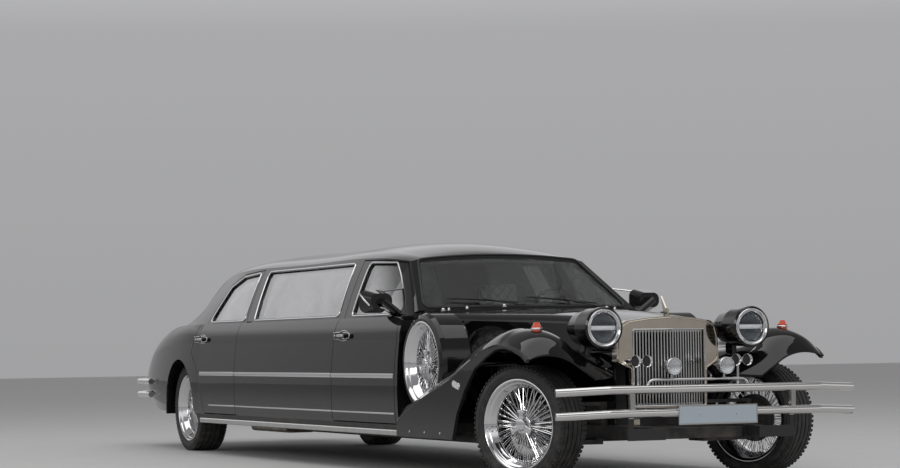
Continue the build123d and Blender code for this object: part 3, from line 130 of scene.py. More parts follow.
def noiseIn(group, vector, scale, detail):
    noise = group.nodes.new("ShaderNodeTexNoise")
    noise.inputs["Detail"].default_value = detail
    group.links.new(vector, noise.inputs["Vector"])
    group.links.new(scale, noise.inputs["Scale"])
    return noise.outputs["Fac"]


def roadDustGroup():
    # fine dust that gathers low on the car and in patches
    group, given, result = newGroup(
        "roadDust",
        [("Scale", "NodeSocketFloat", 9.0), ("Top", "NodeSocketFloat", 0.7), ("Amount", "NodeSocketFloat", 0.4)],
        [("Mask", "NodeSocketFloat")],
    )
    coords, parts = objectParts(group)
    patches = rangeOf(group, noiseIn(group, coords, given["Scale"], 6), 0, 1, start=0.42, end=0.72)
    low = rangeOf(group, parts["Z"], 1.0, 0.12, start=0.05, end=given["Top"])
    mask = mathNode(group, "MULTIPLY", mathNode(group, "MULTIPLY", patches, low), given["Amount"], clamp=True)
    group.links.new(mask, result["Mask"])
    return group


def grainGroup():
    # small surface grain, as a height
    group, given, result = newGroup(
        "fineGrain",
        [("Scale", "NodeSocketFloat", 400.0), ("Stretch", "NodeSocketVector", (1, 1, 1))],
        [("Height", "NodeSocketFloat")],
    )
    mapping = group.nodes.new("ShaderNodeMapping")
    group.links.new(objectParts(group)[0], mapping.inputs["Vector"])
    group.links.new(given["Stretch"], mapping.inputs["Scale"])
    group.links.new(noiseIn(group, mapping.outputs["Vector"], given["Scale"], 3), result["Height"])
    return group


roadDust = roadDustGroup()
fineGrain = grainGroup()


def startMaterial(name):
    material = bpy.data.materials.new(name)
    material.use_nodes = True
    return material, material.node_tree


def useGroup(tree, group, **values):
    node = tree.nodes.new("ShaderNodeGroup")
    node.node_tree = group
    for label, value in values.items():
        node.inputs[label].default_value = value
    return node.outputs[0]


def mixOf(tree, mask, first, second, target=None, kind="RGBA"):
    mix = tree.nodes.new("ShaderNodeMix")
    mix.data_type = kind
    for value, label in ((mask, "Factor"), (first, "A"), (second, "B")):
        connect(tree, value, mix.inputs[label])
    return toShader(tree, mix.outputs["Result"], target)


def dustOn(tree, scale, top, amount):
    return useGroup(tree, roadDust, Scale=scale, Top=top, Amount=amount)


def bumpFrom(tree, height, strength, distance):
    bump = tree.nodes.new("ShaderNodeBump")
    bump.inputs["Strength"].default_value = strength
    bump.inputs["Distance"].default_value = distance
    tree.links.new(height, bump.inputs["Height"])
    toShader(tree, bump.outputs["Normal"], "Normal")


def grainBump(tree, scale, strength, distance, stretch=(1, 1, 1)):
    bumpFrom(tree, useGroup(tree, fineGrain, Scale=scale, Stretch=stretch), strength, distance)


def dustyFinish(name, colour, dustColour, roughness, dusty, amount=0.3, top=0.7, metallic=0.0, coat=0.0,
                specular=0.5, grain=400.0, stretch=(1, 1, 1), bump=0.05, dustScale=9.0):
    # a colour under a thin uneven layer of dust; dusty is the roughness where the dust lies
    material, tree = startMaterial(name)
    dust = dustOn(tree, dustScale, top, amount)
    mixOf(tree, dust, colour, dustColour, "Base Color")
    rangeOf(tree, dust, roughness, dusty, "Roughness")
    settle(tree, {"Metallic": metallic, "Specular IOR Level": specular, "Coat Weight": coat, "Coat Roughness": 0.02})
    grainBump(tree, grain, bump, 0.001, stretch)
    return material


dustTone = (0.2, 0.17, 0.14)
paintTone = (0.004, 0.004, 0.0045)
dustyPlan = {  # name, colour, colour of the dust, roughness, roughness under dust, and what differs from plain
    "paint": ("blackPaint", paintTone, dustTone, 0.3, 0.5,
              {"amount": 0.06, "top": 0.9, "coat": 1.0, "specular": 0.0, "grain": 260.0, "bump": 0.004}),
    "chrome": ("chromePlate", (0.72, 0.72, 0.73), (0.45, 0.42, 0.38), 0.045, 0.22,
               {"amount": 0.22, "top": 0.8, "metallic": 1.0, "grain": 120.0, "bump": 0.006}),
    "polished": ("polishedSteel", (0.62, 0.62, 0.61), (0.33, 0.31, 0.28), 0.16, 0.4,
                 {"metallic": 1.0, "grain": 90.0, "stretch": (0.05, 1, 1), "bump": 0.03}),
    "shell": ("nickelShell", (0.6, 0.54, 0.46), (0.32, 0.27, 0.22), 0.06, 0.2,
              {"amount": 0.35, "top": 1.4, "metallic": 1.0, "grain": 7.0, "bump": 0.35}),
    "frame": ("chassisBlack", (0.016, 0.016, 0.017), dustTone, 0.5, 0.9,
              {"amount": 0.6, "top": 0.8, "grain": 300.0, "bump": 0.2}),
    "casting": ("engineCasting", (0.13, 0.13, 0.135), (0.1, 0.08, 0.06), 0.62, 0.9,
                {"amount": 0.6, "top": 1.4, "metallic": 0.6, "grain": 500.0, "bump": 0.5}),
    "exhaust": ("exhaustSteel", (0.34, 0.3, 0.27), (0.16, 0.12, 0.09), 0.35, 0.8,
                {"amount": 0.8, "top": 0.6, "metallic": 0.9, "grain": 160.0, "bump": 0.1}),
    "dash": ("dashGrain", (0.03, 0.03, 0.032), (0.08, 0.08, 0.08), 0.6, 0.75,
             {"amount": 0.2, "top": 2.0, "grain": 900.0, "bump": 0.35}),
    "rubberTrim": ("rubberTrim", (0.012, 0.012, 0.012), dustTone, 0.55, 0.85,
                   {"top": 1.2, "grain": 600.0, "bump": 0.2}),
    # painted reflection: the headlamp reflector's metal colour is darkened to stand in for the dark it mirrors
    "darkReflectionPainted": ("reflectorPaintedDark", (0.1, 0.11, 0.12), (0.2, 0.2, 0.2), 0.12, 0.2,
               {"amount": 0.1, "top": 2.0, "metallic": 1.0, "grain": 40.0}),
    # painted highlight: a near-white colour for the bars inside the headlamps, standing in for the bright glint across
    # each lamp
    "paintedHighlightBar": ("lampBar", (0.93, 0.94, 0.95), (0.6, 0.6, 0.6), 0.25, 0.4,
                  {"amount": 0.1, "top": 2.0, "grain": 200.0, "bump": 0.02}),
    "leather": ("plainLeather", (0.47, 0.49, 0.44), (0.38, 0.39, 0.35), 0.45, 0.6,
                {"amount": 0.5, "top": 2.0, "grain": 260.0, "bump": 0.3, "dustScale": 20.0}),
}
finish = {key: dustyFinish(*values, **more) for key, (*values, more) in dustyPlan.items()}


def tyreFinish():
    material, tree = startMaterial("tyreRubber")
    dust = dustOn(tree, 22.0, 0.75, 0.45)
    mixOf(tree, dust, (0.014, 0.014, 0.014), (0.13, 0.115, 0.1), "Base Color")
    rangeOf(tree, dust, 0.6, 0.95, "Roughness")
    grainBump(tree, 500.0, 0.35, 0.0006)
    return material


def glassFinish(name, colour, roughness, ior=1.45, coat=0.0, alpha=1.0):
    material, tree = startMaterial(name)
    film = dustOn(tree, 5.0, 1.8, 0.6)
    mixOf(tree, film, colour, [channel * 0.85 for channel in colour], "Base Color")
    settle(tree, {"Transmission Weight": 1.0, "IOR": ior, "Coat Weight": coat, "Coat IOR": 1.8, "Coat Roughness": 0.0,
                  "Alpha": alpha})
    rangeOf(tree, film, roughness, roughness + 0.05, "Roughness")
    grainBump(tree, 6.0, 0.02, 0.002)
    return material


def ribsOf(tree, direction, scale):
    ribs = tree.nodes.new("ShaderNodeTexWave")
    ribs.bands_direction = direction
    ribs.inputs["Scale"].default_value = scale
    coords, parts = objectParts(tree)
    tree.links.new(coords, ribs.inputs["Vector"])
    return ribs.outputs["Fac"], parts


def ribbedLens(name, colour, scale):
    material, tree = startMaterial(name)
    settle(tree, {"Base Color": colour, "Transmission Weight": 0.92, "Alpha": 0.6})
    ribs, parts = ribsOf(tree, "Y", scale)
    bumpFrom(tree, ribs, 0.35, 0.002)
    rangeOf(tree, ribs, 0.0, 0.03, "Roughness")
    return material


def quiltFinish(name, colour, pitch):
    # leather stitched in diamonds; the seams run both ways along the piece's height and width, and the seams and the
    # creases beside them are darker, partly as dark seams and partly as painted shade
    material, tree = startMaterial(name)
    coords, parts = objectParts(tree)
    run = mathNode(tree, "ADD", parts["Z"], parts["X"])
    ridges = []
    for sign in ("ADD", "SUBTRACT"):
        slope = mathNode(tree, sign, parts["Y"], run)
        wave = mathNode(tree, "SINE", mathNode(tree, "MULTIPLY", slope, math.pi / pitch))
        ridges.append(mathNode(tree, "POWER", mathNode(tree, "ABSOLUTE", wave), 0.45))
    pillow = mathNode(tree, "MULTIPLY", *ridges)
    grain = useGroup(tree, fineGrain, Scale=300.0)
    bumpFrom(tree, mathNode(tree, "MULTIPLY_ADD", grain, 0.06, pillow), 0.9, 0.012)
    # partly painted shade: the colour darkens towards the low creases of the pillows, and partly marks the dark seams
    seamAndCreaseShade = [channel * 0.45 for channel in colour]
    mixOf(tree, rangeOf(tree, pillow, 0, 1, end=0.45), seamAndCreaseShade, colour, "Base Color")
    rangeOf(tree, grain, 0.42, 0.6, "Roughness")
    return material


def signalFinish():
    # red tail lamps, clear side markers and red-orange domes, from the rear of the car to its front
    material, tree = startMaterial("signalLamps")
    ribs, parts = ribsOf(tree, "Z", 45.0)
    ahead = mixOf(tree, rangeOf(tree, parts["X"], 0, 1, start=2.99, end=3.01), (0.8, 0.8, 0.78), (0.75, 0.07, 0.012))
    lamp = mixOf(tree, rangeOf(tree, parts["X"], 0, 1, start=0.0, end=0.02), (0.55, 0.012, 0.008), ahead)
    mixOf(tree, rangeOf(tree, ribs, 0.0, 0.25), lamp, (0.05, 0.01, 0.01), "Base Color")
    rangeOf(tree, ribs, 0.08, 0.16, "Roughness")
    settle(tree, {"Coat Weight": 1.0})
    bumpFrom(tree, ribs, 0.3, 0.0015)
    return material


trimPlan = {"inner face": 0.8868, "belt": 0.99, "leather": (0.4, 0.42, 0.37)}


def trimmedPaint():
    # black paint outside, leather trim on the faces that look into the cabin
    material, tree = startMaterial("paintAndTrim")
    coords, parts = objectParts(tree)
    inside = maskBelow(tree, mathNode(tree, "ABSOLUTE", parts["Y"]), trimPlan["inner face"], 0.0006)
    trim = mathNode(tree, "MULTIPLY", inside, maskBelow(tree, parts["Z"], trimPlan["belt"], 0.004))
    dust = dustOn(tree, 9.0, 0.9, 0.06)
    mixOf(tree, trim, mixOf(tree, dust, paintTone, dustTone), trimPlan["leather"], "Base Color")
    mixOf(tree, trim, rangeOf(tree, dust, 0.1, 0.45), 0.55, "Roughness", kind="FLOAT")
    rangeOf(tree, trim, 1.0, 0.0, "Coat Weight")
    settle(tree, {"Coat Roughness": 0.02, "Specular IOR Level": 0.0})
    grainBump(tree, 260.0, 0.004, 0.001)
    return material


platePlan = {
    "face": (4.0942, 4.0946), "half": (0.252, 0.047), "height": 0.4, "colour": (0.44, 0.5, 0.55),
    # the carrier's colour is painted shade: near black on the carrier and on the brackets low under the bumper
    "carrier front": 4.066, "carrier top": 0.384, "carrier painted shade": (0.02, 0.02, 0.02),
}


def bumperFinish():
    # chrome, with the blank plate on the face of its carrier; the carrier and the brackets low behind the bumper face
    # get a near-black colour as painted shade
    material, tree = startMaterial("bumperChrome")
    coords, parts = objectParts(tree)
    face = rangeOf(tree, parts["X"], 0, 1, start=platePlan["face"][0], end=platePlan["face"][1])
    across = mathNode(tree, "ABSOLUTE", parts["Y"])
    upDown = mathNode(tree, "ABSOLUTE", mathNode(tree, "SUBTRACT", parts["Z"], platePlan["height"]))
    plate = face
    for away, half in zip((across, upDown), platePlan["half"]):
        plate = mathNode(tree, "MULTIPLY", plate, maskBelow(tree, away, half, 0.0008))
    chromeColour = mixOf(tree, dustOn(tree, 9.0, 0.8, 0.22), (0.66, 0.65, 0.64), (0.42, 0.39, 0.35))
    # painted shade: behind the carrier front and below its top, the chrome is darkened to near black and made plain,
    # not metallic
    carrier = mathNode(tree, "MULTIPLY", maskBelow(tree, parts["X"], platePlan["carrier front"], 0.0006),
                       maskBelow(tree, parts["Z"], platePlan["carrier top"], 0.001))
    carrierShaded = mixOf(tree, carrier, chromeColour, platePlan["carrier painted shade"])
    mixOf(tree, plate, carrierShaded, platePlan["colour"], "Base Color")
    plain = mathNode(tree, "MAXIMUM", plate, carrier)
    rangeOf(tree, plain, 1.0, 0.0, "Metallic")
    rangeOf(tree, plain, 0.06, 0.38, "Roughness")
    bumpFrom(tree, plate, 0.6, 0.0015)
    return material


finish["tyre"] = tyreFinish()
finish["darkGlass"] = glassFinish("darkGlass", (0.05, 0.055, 0.055), 0.01, ior=1.9, coat=1.0, alpha=0.9)
finish["frontGlass"] = glassFinish("frontGlass", (0.72, 0.78, 0.76), 0.0, alpha=0.26)
finish["clearGlass"] = glassFinish("clearGlass", (0.96, 0.98, 1.0), 0.0, alpha=0.35)
finish["lens"] = ribbedLens("ribbedLens", (0.95, 0.97, 0.98), 28.0)
finish["quilt"] = quiltFinish("quiltedLeather", (0.7, 0.77, 0.68), 0.075)
finish["signal"] = signalFinish()
finish["paintTrim"] = trimmedPaint()
finish["bumper"] = bumperFinish()

carried = {  # a name that ends in _ stands for the right and the left one
    "paint": ["cowl", "roof_panel", "tail_panel", "rear_quarter_", "front_fender_", "hood", "trunk_lid", "spare_covers",
              "headlamps"],
    "paintTrim": ["side_panel_", "door_front_", "door_rear_"],
    "darkGlass": ["rear_window", "side_windows", "door_glass_front_", "door_glass_rear_"],
    "frontGlass": ["windshield"],
    "shell": ["radiator_shell"],
    "chrome": ["lamp_bar", "rear_bumper", "spare_wheels"],
    "bumper": ["front_bumper"],
    "lens": ["headlamp_lenses"],
    "signal": ["signal_lamps"],
    "polished": ["running_boards", "grille"],
    "frame": ["floor_pan", "chassis_frame", "fuel_tank", "rear_axle", "tie_rod", "knuckle_"],
    "casting": ["engine"],
    "exhaust": ["exhaust"],
    "dash": ["dashboard", "partition"],
    "leather": ["seats"],
}
for key, names in carried.items():
    for name in names:
        for label in ("right", "left") if name.endswith("_") else ("",):
            nodes[name + label].data.materials.clear()
            nodes[name + label].data.materials.append(finish[key])
print("finishes on the carried-over solids")


# helpers for new pieces
def holdMesh(name, bm):
    mesh = bpy.data.meshes.new(name)
    bm.to_mesh(mesh)
    bm.free()
    holder = bpy.data.objects.new(name, mesh)
    bpy.context.collection.objects.link(holder)
    return holder


def joinPart(target, part):
    scratch = bpy.data.meshes.new("scratch")
    part.to_mesh(scratch)
    part.free()
    target.from_mesh(scratch)
    bpy.data.meshes.remove(scratch)


def addPiece(name, bm, look="chrome", body="body", sharp=35, merge=0.00005):
    if merge:
        bmesh.ops.remove_doubles(bm, verts=bm.verts, dist=merge)
    piece = holdMesh(name, bm)
    piece.data.materials.append(finish[look])
    piece.data.shade_smooth()
    piece.data.set_sharp_from_angle(angle=math.radians(sharp))
    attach(piece, body)
    return piece


def spinProfile(bm, points, steps, closed=True):
    # points are (radius, place on the axis); the axis is local Z
    ring = [bm.verts.new((radius, 0, place)) for radius, place in points]
    edges = [bm.edges.new((ring[i], ring[i + 1])) for i in range(len(ring) - 1)]
    if closed:
        edges.append(bm.edges.new((ring[-1], ring[0])))
    bmesh.ops.spin(bm, geom=ring + edges, cent=(0, 0, 0), axis=(0, 0, 1), angle=math.tau, steps=steps, use_merge=True)
    bmesh.ops.recalc_face_normals(bm, faces=bm.faces)


def aimed(place, way):
    # local Z turned along a direction
    return Matrix.Translation(place) @ Vector(way).to_track_quat("Z", "Y").to_matrix().to_4x4()


def addSpin(target, points, steps, place, way, closed=True):
    part = bmesh.new()
    spinProfile(part, points, steps, closed)
    part.transform(aimed(place, way))
    joinPart(target, part)


def stud(bm, sides, base, tip, depth, place, way):
    bmesh.ops.create_cone(bm, cap_ends=True, segments=sides, radius1=base, radius2=tip, depth=depth,
                          matrix=aimed(place, way))


def rod(bm, start, end, radius, sides=6):
    start, end = Vector(start), Vector(end)
    stud(bm, sides, radius, radius, (end - start).length, (start + end) / 2, end - start)


def block(bm, centre, size, bevel=0.0, turn=None, segments=2):
    place = Matrix.Translation(centre) @ (turn or Matrix.Identity(4)) @ Matrix.Diagonal((*size, 1))
    made = bmesh.ops.create_cube(bm, size=1, matrix=place)
    if bevel:
        edges = list({edge for vert in made["verts"] for edge in vert.link_edges})
        bmesh.ops.bevel(bm, geom=edges, offset=bevel, affect="EDGES", segments=segments, profile=0.5, material=-1,
                        clamp_overlap=True)


def addBlocks(bm, rows, origin=frontAxle, side=1):
    # rows of place, size, bevel and lean in degrees
    for (ahead, away, height), size, bevel, lean in rows:
        block(bm, (origin + ahead, side * away, height), size, bevel=bevel,
              turn=Matrix.Rotation(math.radians(lean), 4, "Y"))


def surfaceOf(*names):
    bm = bmesh.new()
    for name in names:
        bm.from_mesh(nodes[name].data)
    tree = BVHTree.FromBMesh(bm)
    bm.free()
    return tree


def castOn(tree, spot, way):
    return tree.ray_cast(Vector(spot), Vector(way))[0]


def pathOn(tree, spots, way, lift):
    # spots thrown on a surface along a direction, then lifted a little off it
    hits = [castOn(tree, spot, way) for spot in spots]
    return [tuple(value - step * lift for value, step in zip(hit, way)) for hit in hits if hit is not None]


def tubePiece(name, paths, radius, look="chrome", body="body", closed=True):
    curve = bpy.data.curves.new(name, "CURVE")
    curve.dimensions = "3D"
    curve.bevel_depth = radius
    curve.bevel_resolution = 2
    curve.use_fill_caps = True
    for path in paths:
        spline = curve.splines.new("POLY")
        spline.points.add(len(path) - 1)
        for point, spot in zip(spline.points, path):
            point.co = (*spot, 1)
        spline.use_cyclic_u = closed
    holder = bpy.data.objects.new(name + "Path", curve)
    mesh = bpy.data.meshes.new_from_object(holder)
    bpy.data.objects.remove(holder)
    bm = bmesh.new()
    bm.from_mesh(mesh)
    bpy.data.meshes.remove(mesh)
    addPiece(name, bm, look, body, sharp=60)


outlinePlan = {"most": 0.45, "least": 0.3}  # share of a run that one corner takes; least cosine at a sharp corner


def divided(start, end, spacing):
    gap = end - start
    parts = max(1, int(gap.length / spacing))
    return [start + gap * (k / parts) for k in range(1, parts)]


def cornerAt(points, index):
    return (Vector(points[(index + k) % len(points)]) for k in (-1, 0, 1))


def roundedOutline(points, radius, steps=5, spacing=0.06):
    # corners of a closed outline rounded, and its runs divided
    result = []
    for index in range(len(points)):
        before, corner, after = cornerAt(points, index)
        toBefore, toAfter = (before - corner).normalized(), (after - corner).normalized()
        angle = toBefore.angle(toAfter)
        reach = min(radius / math.tan(angle / 2), (before - corner).length * outlinePlan["most"],
                    (after - corner).length * outlinePlan["most"])
        first, last = corner + toBefore * reach, corner + toAfter * reach
        if result:
            result += divided(result[-1], first, spacing)
        for k in range(steps + 1):
            t = k / steps
            result.append(first * (1 - t) ** 2 + corner * 2 * t * (1 - t) + last * t ** 2)
    return result + divided(result[-1], result[0], spacing)


def grownOutline(points, amount):
    # the outline moved outwards, square to its runs
    area = sum(a[0] * b[1] - b[0] * a[1] for a, b in zip(points, points[1:] + points[:1]))
    turn = 1 if area > 0 else -1
    moved = []
    for index in range(len(points)):
        before, corner, after = cornerAt(points, index)
        runs = (corner - before).normalized(), (after - corner).normalized()
        normalIn, normalOut = (Vector((run.y, -run.x)) * turn for run in runs)
        bisector = (normalIn + normalOut).normalized()
        moved.append(corner + bisector * (amount / max(outlinePlan["least"], bisector.dot(normalOut))))
    return moved


# window trims; the outlines are given by distance behind the front axle and height
trimLine = {
    "grow": 0.01, "bead": 0.0065, "corner": 0.034, "beside": 1.2, "lift": 0.0005,
    "above": 2.0, "glass bead": 0.008, "glass corner": 0.05,
    "front": [(1.668, 1.03), (2.15, 1.364), (2.508, 1.376), (2.44, 1.03)],
    "middle": [(2.69, 1.03), (2.775, 1.378), (4.462, 1.378), (4.36, 1.03)],
    "rear": [(4.585, 1.03), (4.655, 1.376), (5.01, 1.356), (5.225, 1.282), (5.372, 1.03)],
}


def sideTrim(name, outline, side, body, nodeNames):
    flat = grownOutline([(frontAxle - back, height) for back, height in trimLine[outline]], trimLine["grow"])
    spots = [(spot.x, side * trimLine["beside"], spot.y) for spot in roundedOutline(flat, trimLine["corner"])]
    path = pathOn(surfaceOf(*nodeNames), spots, (0, -side, 0), trimLine["lift"])
    tubePiece(name, [path], trimLine["bead"], body=body)


for label, side in bothSides:
    for outline in ("front", "rear"):
        door = "door_" + outline + "_" + label
        sideTrim("windowTrim" + outline.capitalize() + "_" + label, outline, side, door, [door])
    sideTrim("windowTrimMiddle_" + label, "middle", side, "body", ["side_panel_" + label, "roof_panel"])

topSurface = surfaceOf("cowl", "roof_panel", "tail_panel", "rear_quarter_right", "rear_quarter_left")


def topTrim(name, outline, look):
    spots = [(spot.x, spot.y, trimLine["above"]) for spot in roundedOutline(outline, trimLine["glass corner"])]
    path = pathOn(topSurface, spots, (0, 0, -1), trimLine["lift"])
    tubePiece(name, [path], trimLine["glass bead"], look)


frontEdge = frontAxle - 1.555 - 0.028 + 0.014
rearEdge = frontAxle - 2.01 + 0.018 - 0.016
topTrim("windshieldTrim",
        [(frontEdge, 0.752), (frontEdge + 0.01, 0.4), (frontEdge + 0.013, 0), (frontEdge + 0.01, -0.4),
         (frontEdge, -0.752), (rearEdge, -0.596), (rearEdge + 0.003, 0), (rearEdge, 0.596)],
        "rubberTrim")
backTop = rearAxle + 0.16 - 0.03 + 0.012
backLow = rearAxle - 0.5 + 0.026 - 0.012
topTrim("rearWindowTrim", [(backTop, 0.644), (backLow, 0.644), (backLow, -0.644), (backTop, -0.644)],
        "chrome")
print("window trims")


# fenders: the carried-over solids with smooth shading across their sections
def smoothCopy(name, angle):
    bm = bmesh.new()
    bm.from_mesh(nodes[name].data)
    bmesh.ops.remove_doubles(bm, verts=bm.verts, dist=0.00002)
    bmesh.ops.recalc_face_normals(bm, faces=bm.faces)
    piece = addPiece(name + "Smooth", bm, "paint", "body", sharp=angle, merge=None)
    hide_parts(name)


for label in ("right", "left"):
    smoothCopy("front_fender_" + label, 14)

# smooth crown of each wing; columns: ahead of the axle, then y and z of the inner edge, shoulder, crown and outer edge
wingRows = [
    (0.410, 0.560, 0.610, 0.680, 0.690, 0.850, 0.752, 0.985, 0.722),
    (0.375, 0.473, 0.615, 0.669, 0.734, 0.845, 0.804, 0.989, 0.747),
    (0.330, 0.400, 0.625, 0.660, 0.770, 0.840, 0.850, 0.993, 0.770),
    (0.260, 0.359, 0.653, 0.653, 0.791, 0.834, 0.880, 0.996, 0.788),
    (0.180, 0.340, 0.690, 0.650, 0.800, 0.830, 0.896, 0.998, 0.800),
    (0.090, 0.348, 0.724, 0.650, 0.796, 0.830, 0.902, 0.999, 0.808),
    (0.000, 0.362, 0.745, 0.650, 0.790, 0.830, 0.905, 1.000, 0.812),
    (-0.140, 0.382, 0.752, 0.650, 0.787, 0.832, 0.890, 1.000, 0.787),
    (-0.280, 0.405, 0.756, 0.650, 0.785, 0.835, 0.860, 1.000, 0.741),
    (-0.470, 0.445, 0.758, 0.660, 0.775, 0.844, 0.804, 1.000, 0.672),
    (-0.660, 0.490, 0.760, 0.680, 0.760, 0.855, 0.738, 1.000, 0.600),
    (-0.860, 0.541, 0.761, 0.708, 0.743, 0.867, 0.679, 1.000, 0.543),
    (-1.060, 0.594, 0.762, 0.740, 0.720, 0.880, 0.618, 1.000, 0.486),
    (-1.260, 0.646, 0.762, 0.770, 0.686, 0.896, 0.548, 1.000, 0.414),
    (-1.465, 0.700, 0.762, 0.800, 0.640, 0.915, 0.470, 1.000, 0.330),
]
wingPlan = {
    "along": 112, "around": 26, "shoulder": 0.2,  # cells of the skin, and the share of it inside the shoulder
    "lift": 0.0022, "gauge": 0.004, "widest": 1.001, "well": (-1.14, 0.883, 0.7), "wellRadius": 0.3225,
}


def circleThrough(a, b, c):
    d = 2 * (a.x * (b.y - c.y) + b.x * (c.y - a.y) + c.x * (a.y - b.y))
    squares = [p.length_squared for p in (a, b, c)]
    x = (squares[0] * (b.y - c.y) + squares[1] * (c.y - a.y) + squares[2] * (a.y - b.y)) / d
    y = (squares[0] * (c.x - b.x) + squares[1] * (a.x - c.x) + squares[2] * (b.x - a.x)) / d
    return Vector((x, y))


def wingRow(place):
    # values between the rows of the table, by a smooth curve through them
    index = min(int(place), len(wingRows) - 2)
    t = place - index
    rows = [wingRows[max(0, min(len(wingRows) - 1, index + k))] for k in (-1, 0, 1, 2)]
    values = []
    for p0, p1, p2, p3 in zip(*rows):
        values.append(0.5 * (2 * p1 + (p2 - p0) * t + (2 * p0 - 5 * p1 + 4 * p2 - p3) * t * t
                             + (3 * p1 - p0 - 3 * p2 + p3) * t ** 3))
    return values


def wingSkin(label, side):
    inner = wingPlan["shoulder"]
    bm = bmesh.new()
    bmesh.ops.create_grid(bm, x_segments=wingPlan["along"], y_segments=wingPlan["around"], size=0.5)
    for vert in bm.verts:
        ahead, innerY, innerZ, shoulderY, shoulderZ, crownY, crownZ, outerY, outerZ = wingRow(
            (vert.co.x + 0.5) * (len(wingRows) - 1))
        t = vert.co.y + 0.5
        shoulder, crown, outer = (Vector(p) for p in ((shoulderY, shoulderZ), (crownY, crownZ), (outerY, outerZ)))
        if t < inner:
            spot = Vector((innerY, innerZ)).lerp(shoulder, t / inner)
        else:
            centre = circleThrough(shoulder, crown, outer)
            start = math.atan2(*(shoulder - centre).yx)
            end = math.atan2(*(outer - centre).yx)
            angle = start + (end - start) * (t - inner) / (1 - inner)
            radius = (shoulder - centre).length
            spot = centre + Vector((math.cos(angle), math.sin(angle))) * radius
        vert.co = Vector((frontAxle + ahead, side * spot.x, spot.y))
    bmesh.ops.recalc_face_normals(bm, faces=bm.faces)
    bm.normal_update()
    if sum(face.normal.z for face in bm.faces) < 0:
        bmesh.ops.reverse_faces(bm, faces=bm.faces)
        bm.normal_update()
    for vert, way in [(vert, vert.normal.copy()) for vert in bm.verts]:
        vert.co += way * wingPlan["lift"]
        vert.co.y = side * min(abs(vert.co.y), wingPlan["widest"])
    bmesh.ops.solidify(bm, geom=bm.faces, thickness=wingPlan["gauge"])
    holder = holdMesh("wingScratch", bm)
    well = bmesh.new()
    wellPlace = Matrix.Translation((frontAxle + wingPlan["well"][0], side * wingPlan["well"][1], wingPlan["well"][2]))
    bmesh.ops.create_cone(well, cap_ends=True, segments=96, radius1=wingPlan["wellRadius"],
                          radius2=wingPlan["wellRadius"], depth=0.28,
                          matrix=wellPlace @ Matrix.Rotation(math.pi / 2, 4, "X"))
    wellHolder = holdMesh("wellScratch", well)
    cut = holder.modifiers.new("well", "BOOLEAN")
    cut.operation = "DIFFERENCE"
    cut.object = wellHolder
    result = bpy.data.meshes.new_from_object(holder.evaluated_get(bpy.context.evaluated_depsgraph_get()))
    for scrap in (holder, wellHolder):
        bpy.data.objects.remove(scrap)
    done = bmesh.new()
    done.from_mesh(result)
    bpy.data.meshes.remove(result)
    addPiece("wingCrown_" + label, done, "paint", "body", sharp=50)


for label, side in bothSides:
    wingSkin(label, side)
edgePlan = {"steps": 6, "away": 0.9965, "drop": 0.001, "bead": 0.0055, "last": len(wingRows) - 1}
rolled = []
for side in (-1, 1):
    steps, last = edgePlan["steps"], edgePlan["last"]
    places = [min(k / steps, last - 0.001) for k in range(last * steps + 1)]
    rolled.append([(frontAxle + row[0], side * edgePlan["away"], row[8] - edgePlan["drop"])
                   for row in (wingRow(place) for place in places)])
tubePiece("wingEdges", rolled, edgePlan["bead"], "paint", "body", closed=False)

apronPlan = {"steps": 24, "from": 4.2, "top": (0.66, 0.8), "fall": (0.3, 0.175), "lift": 0.001, "bead": 0.0035}
aprons = surfaceOf("front_fender_right", "front_fender_left")
piping = []
for side in (-1, 1):
    spots = []
    for k in range(apronPlan["steps"] + 1):
        y, z = (top - fall * k / apronPlan["steps"] for top, fall in zip(apronPlan["top"], apronPlan["fall"]))
        spots.append((apronPlan["from"], side * y, z))
    piping.append(pathOn(aprons, spots, (-1, 0, 0), apronPlan["lift"]))
tubePiece("apronPiping", piping, apronPlan["bead"], closed=False)
print("wings")

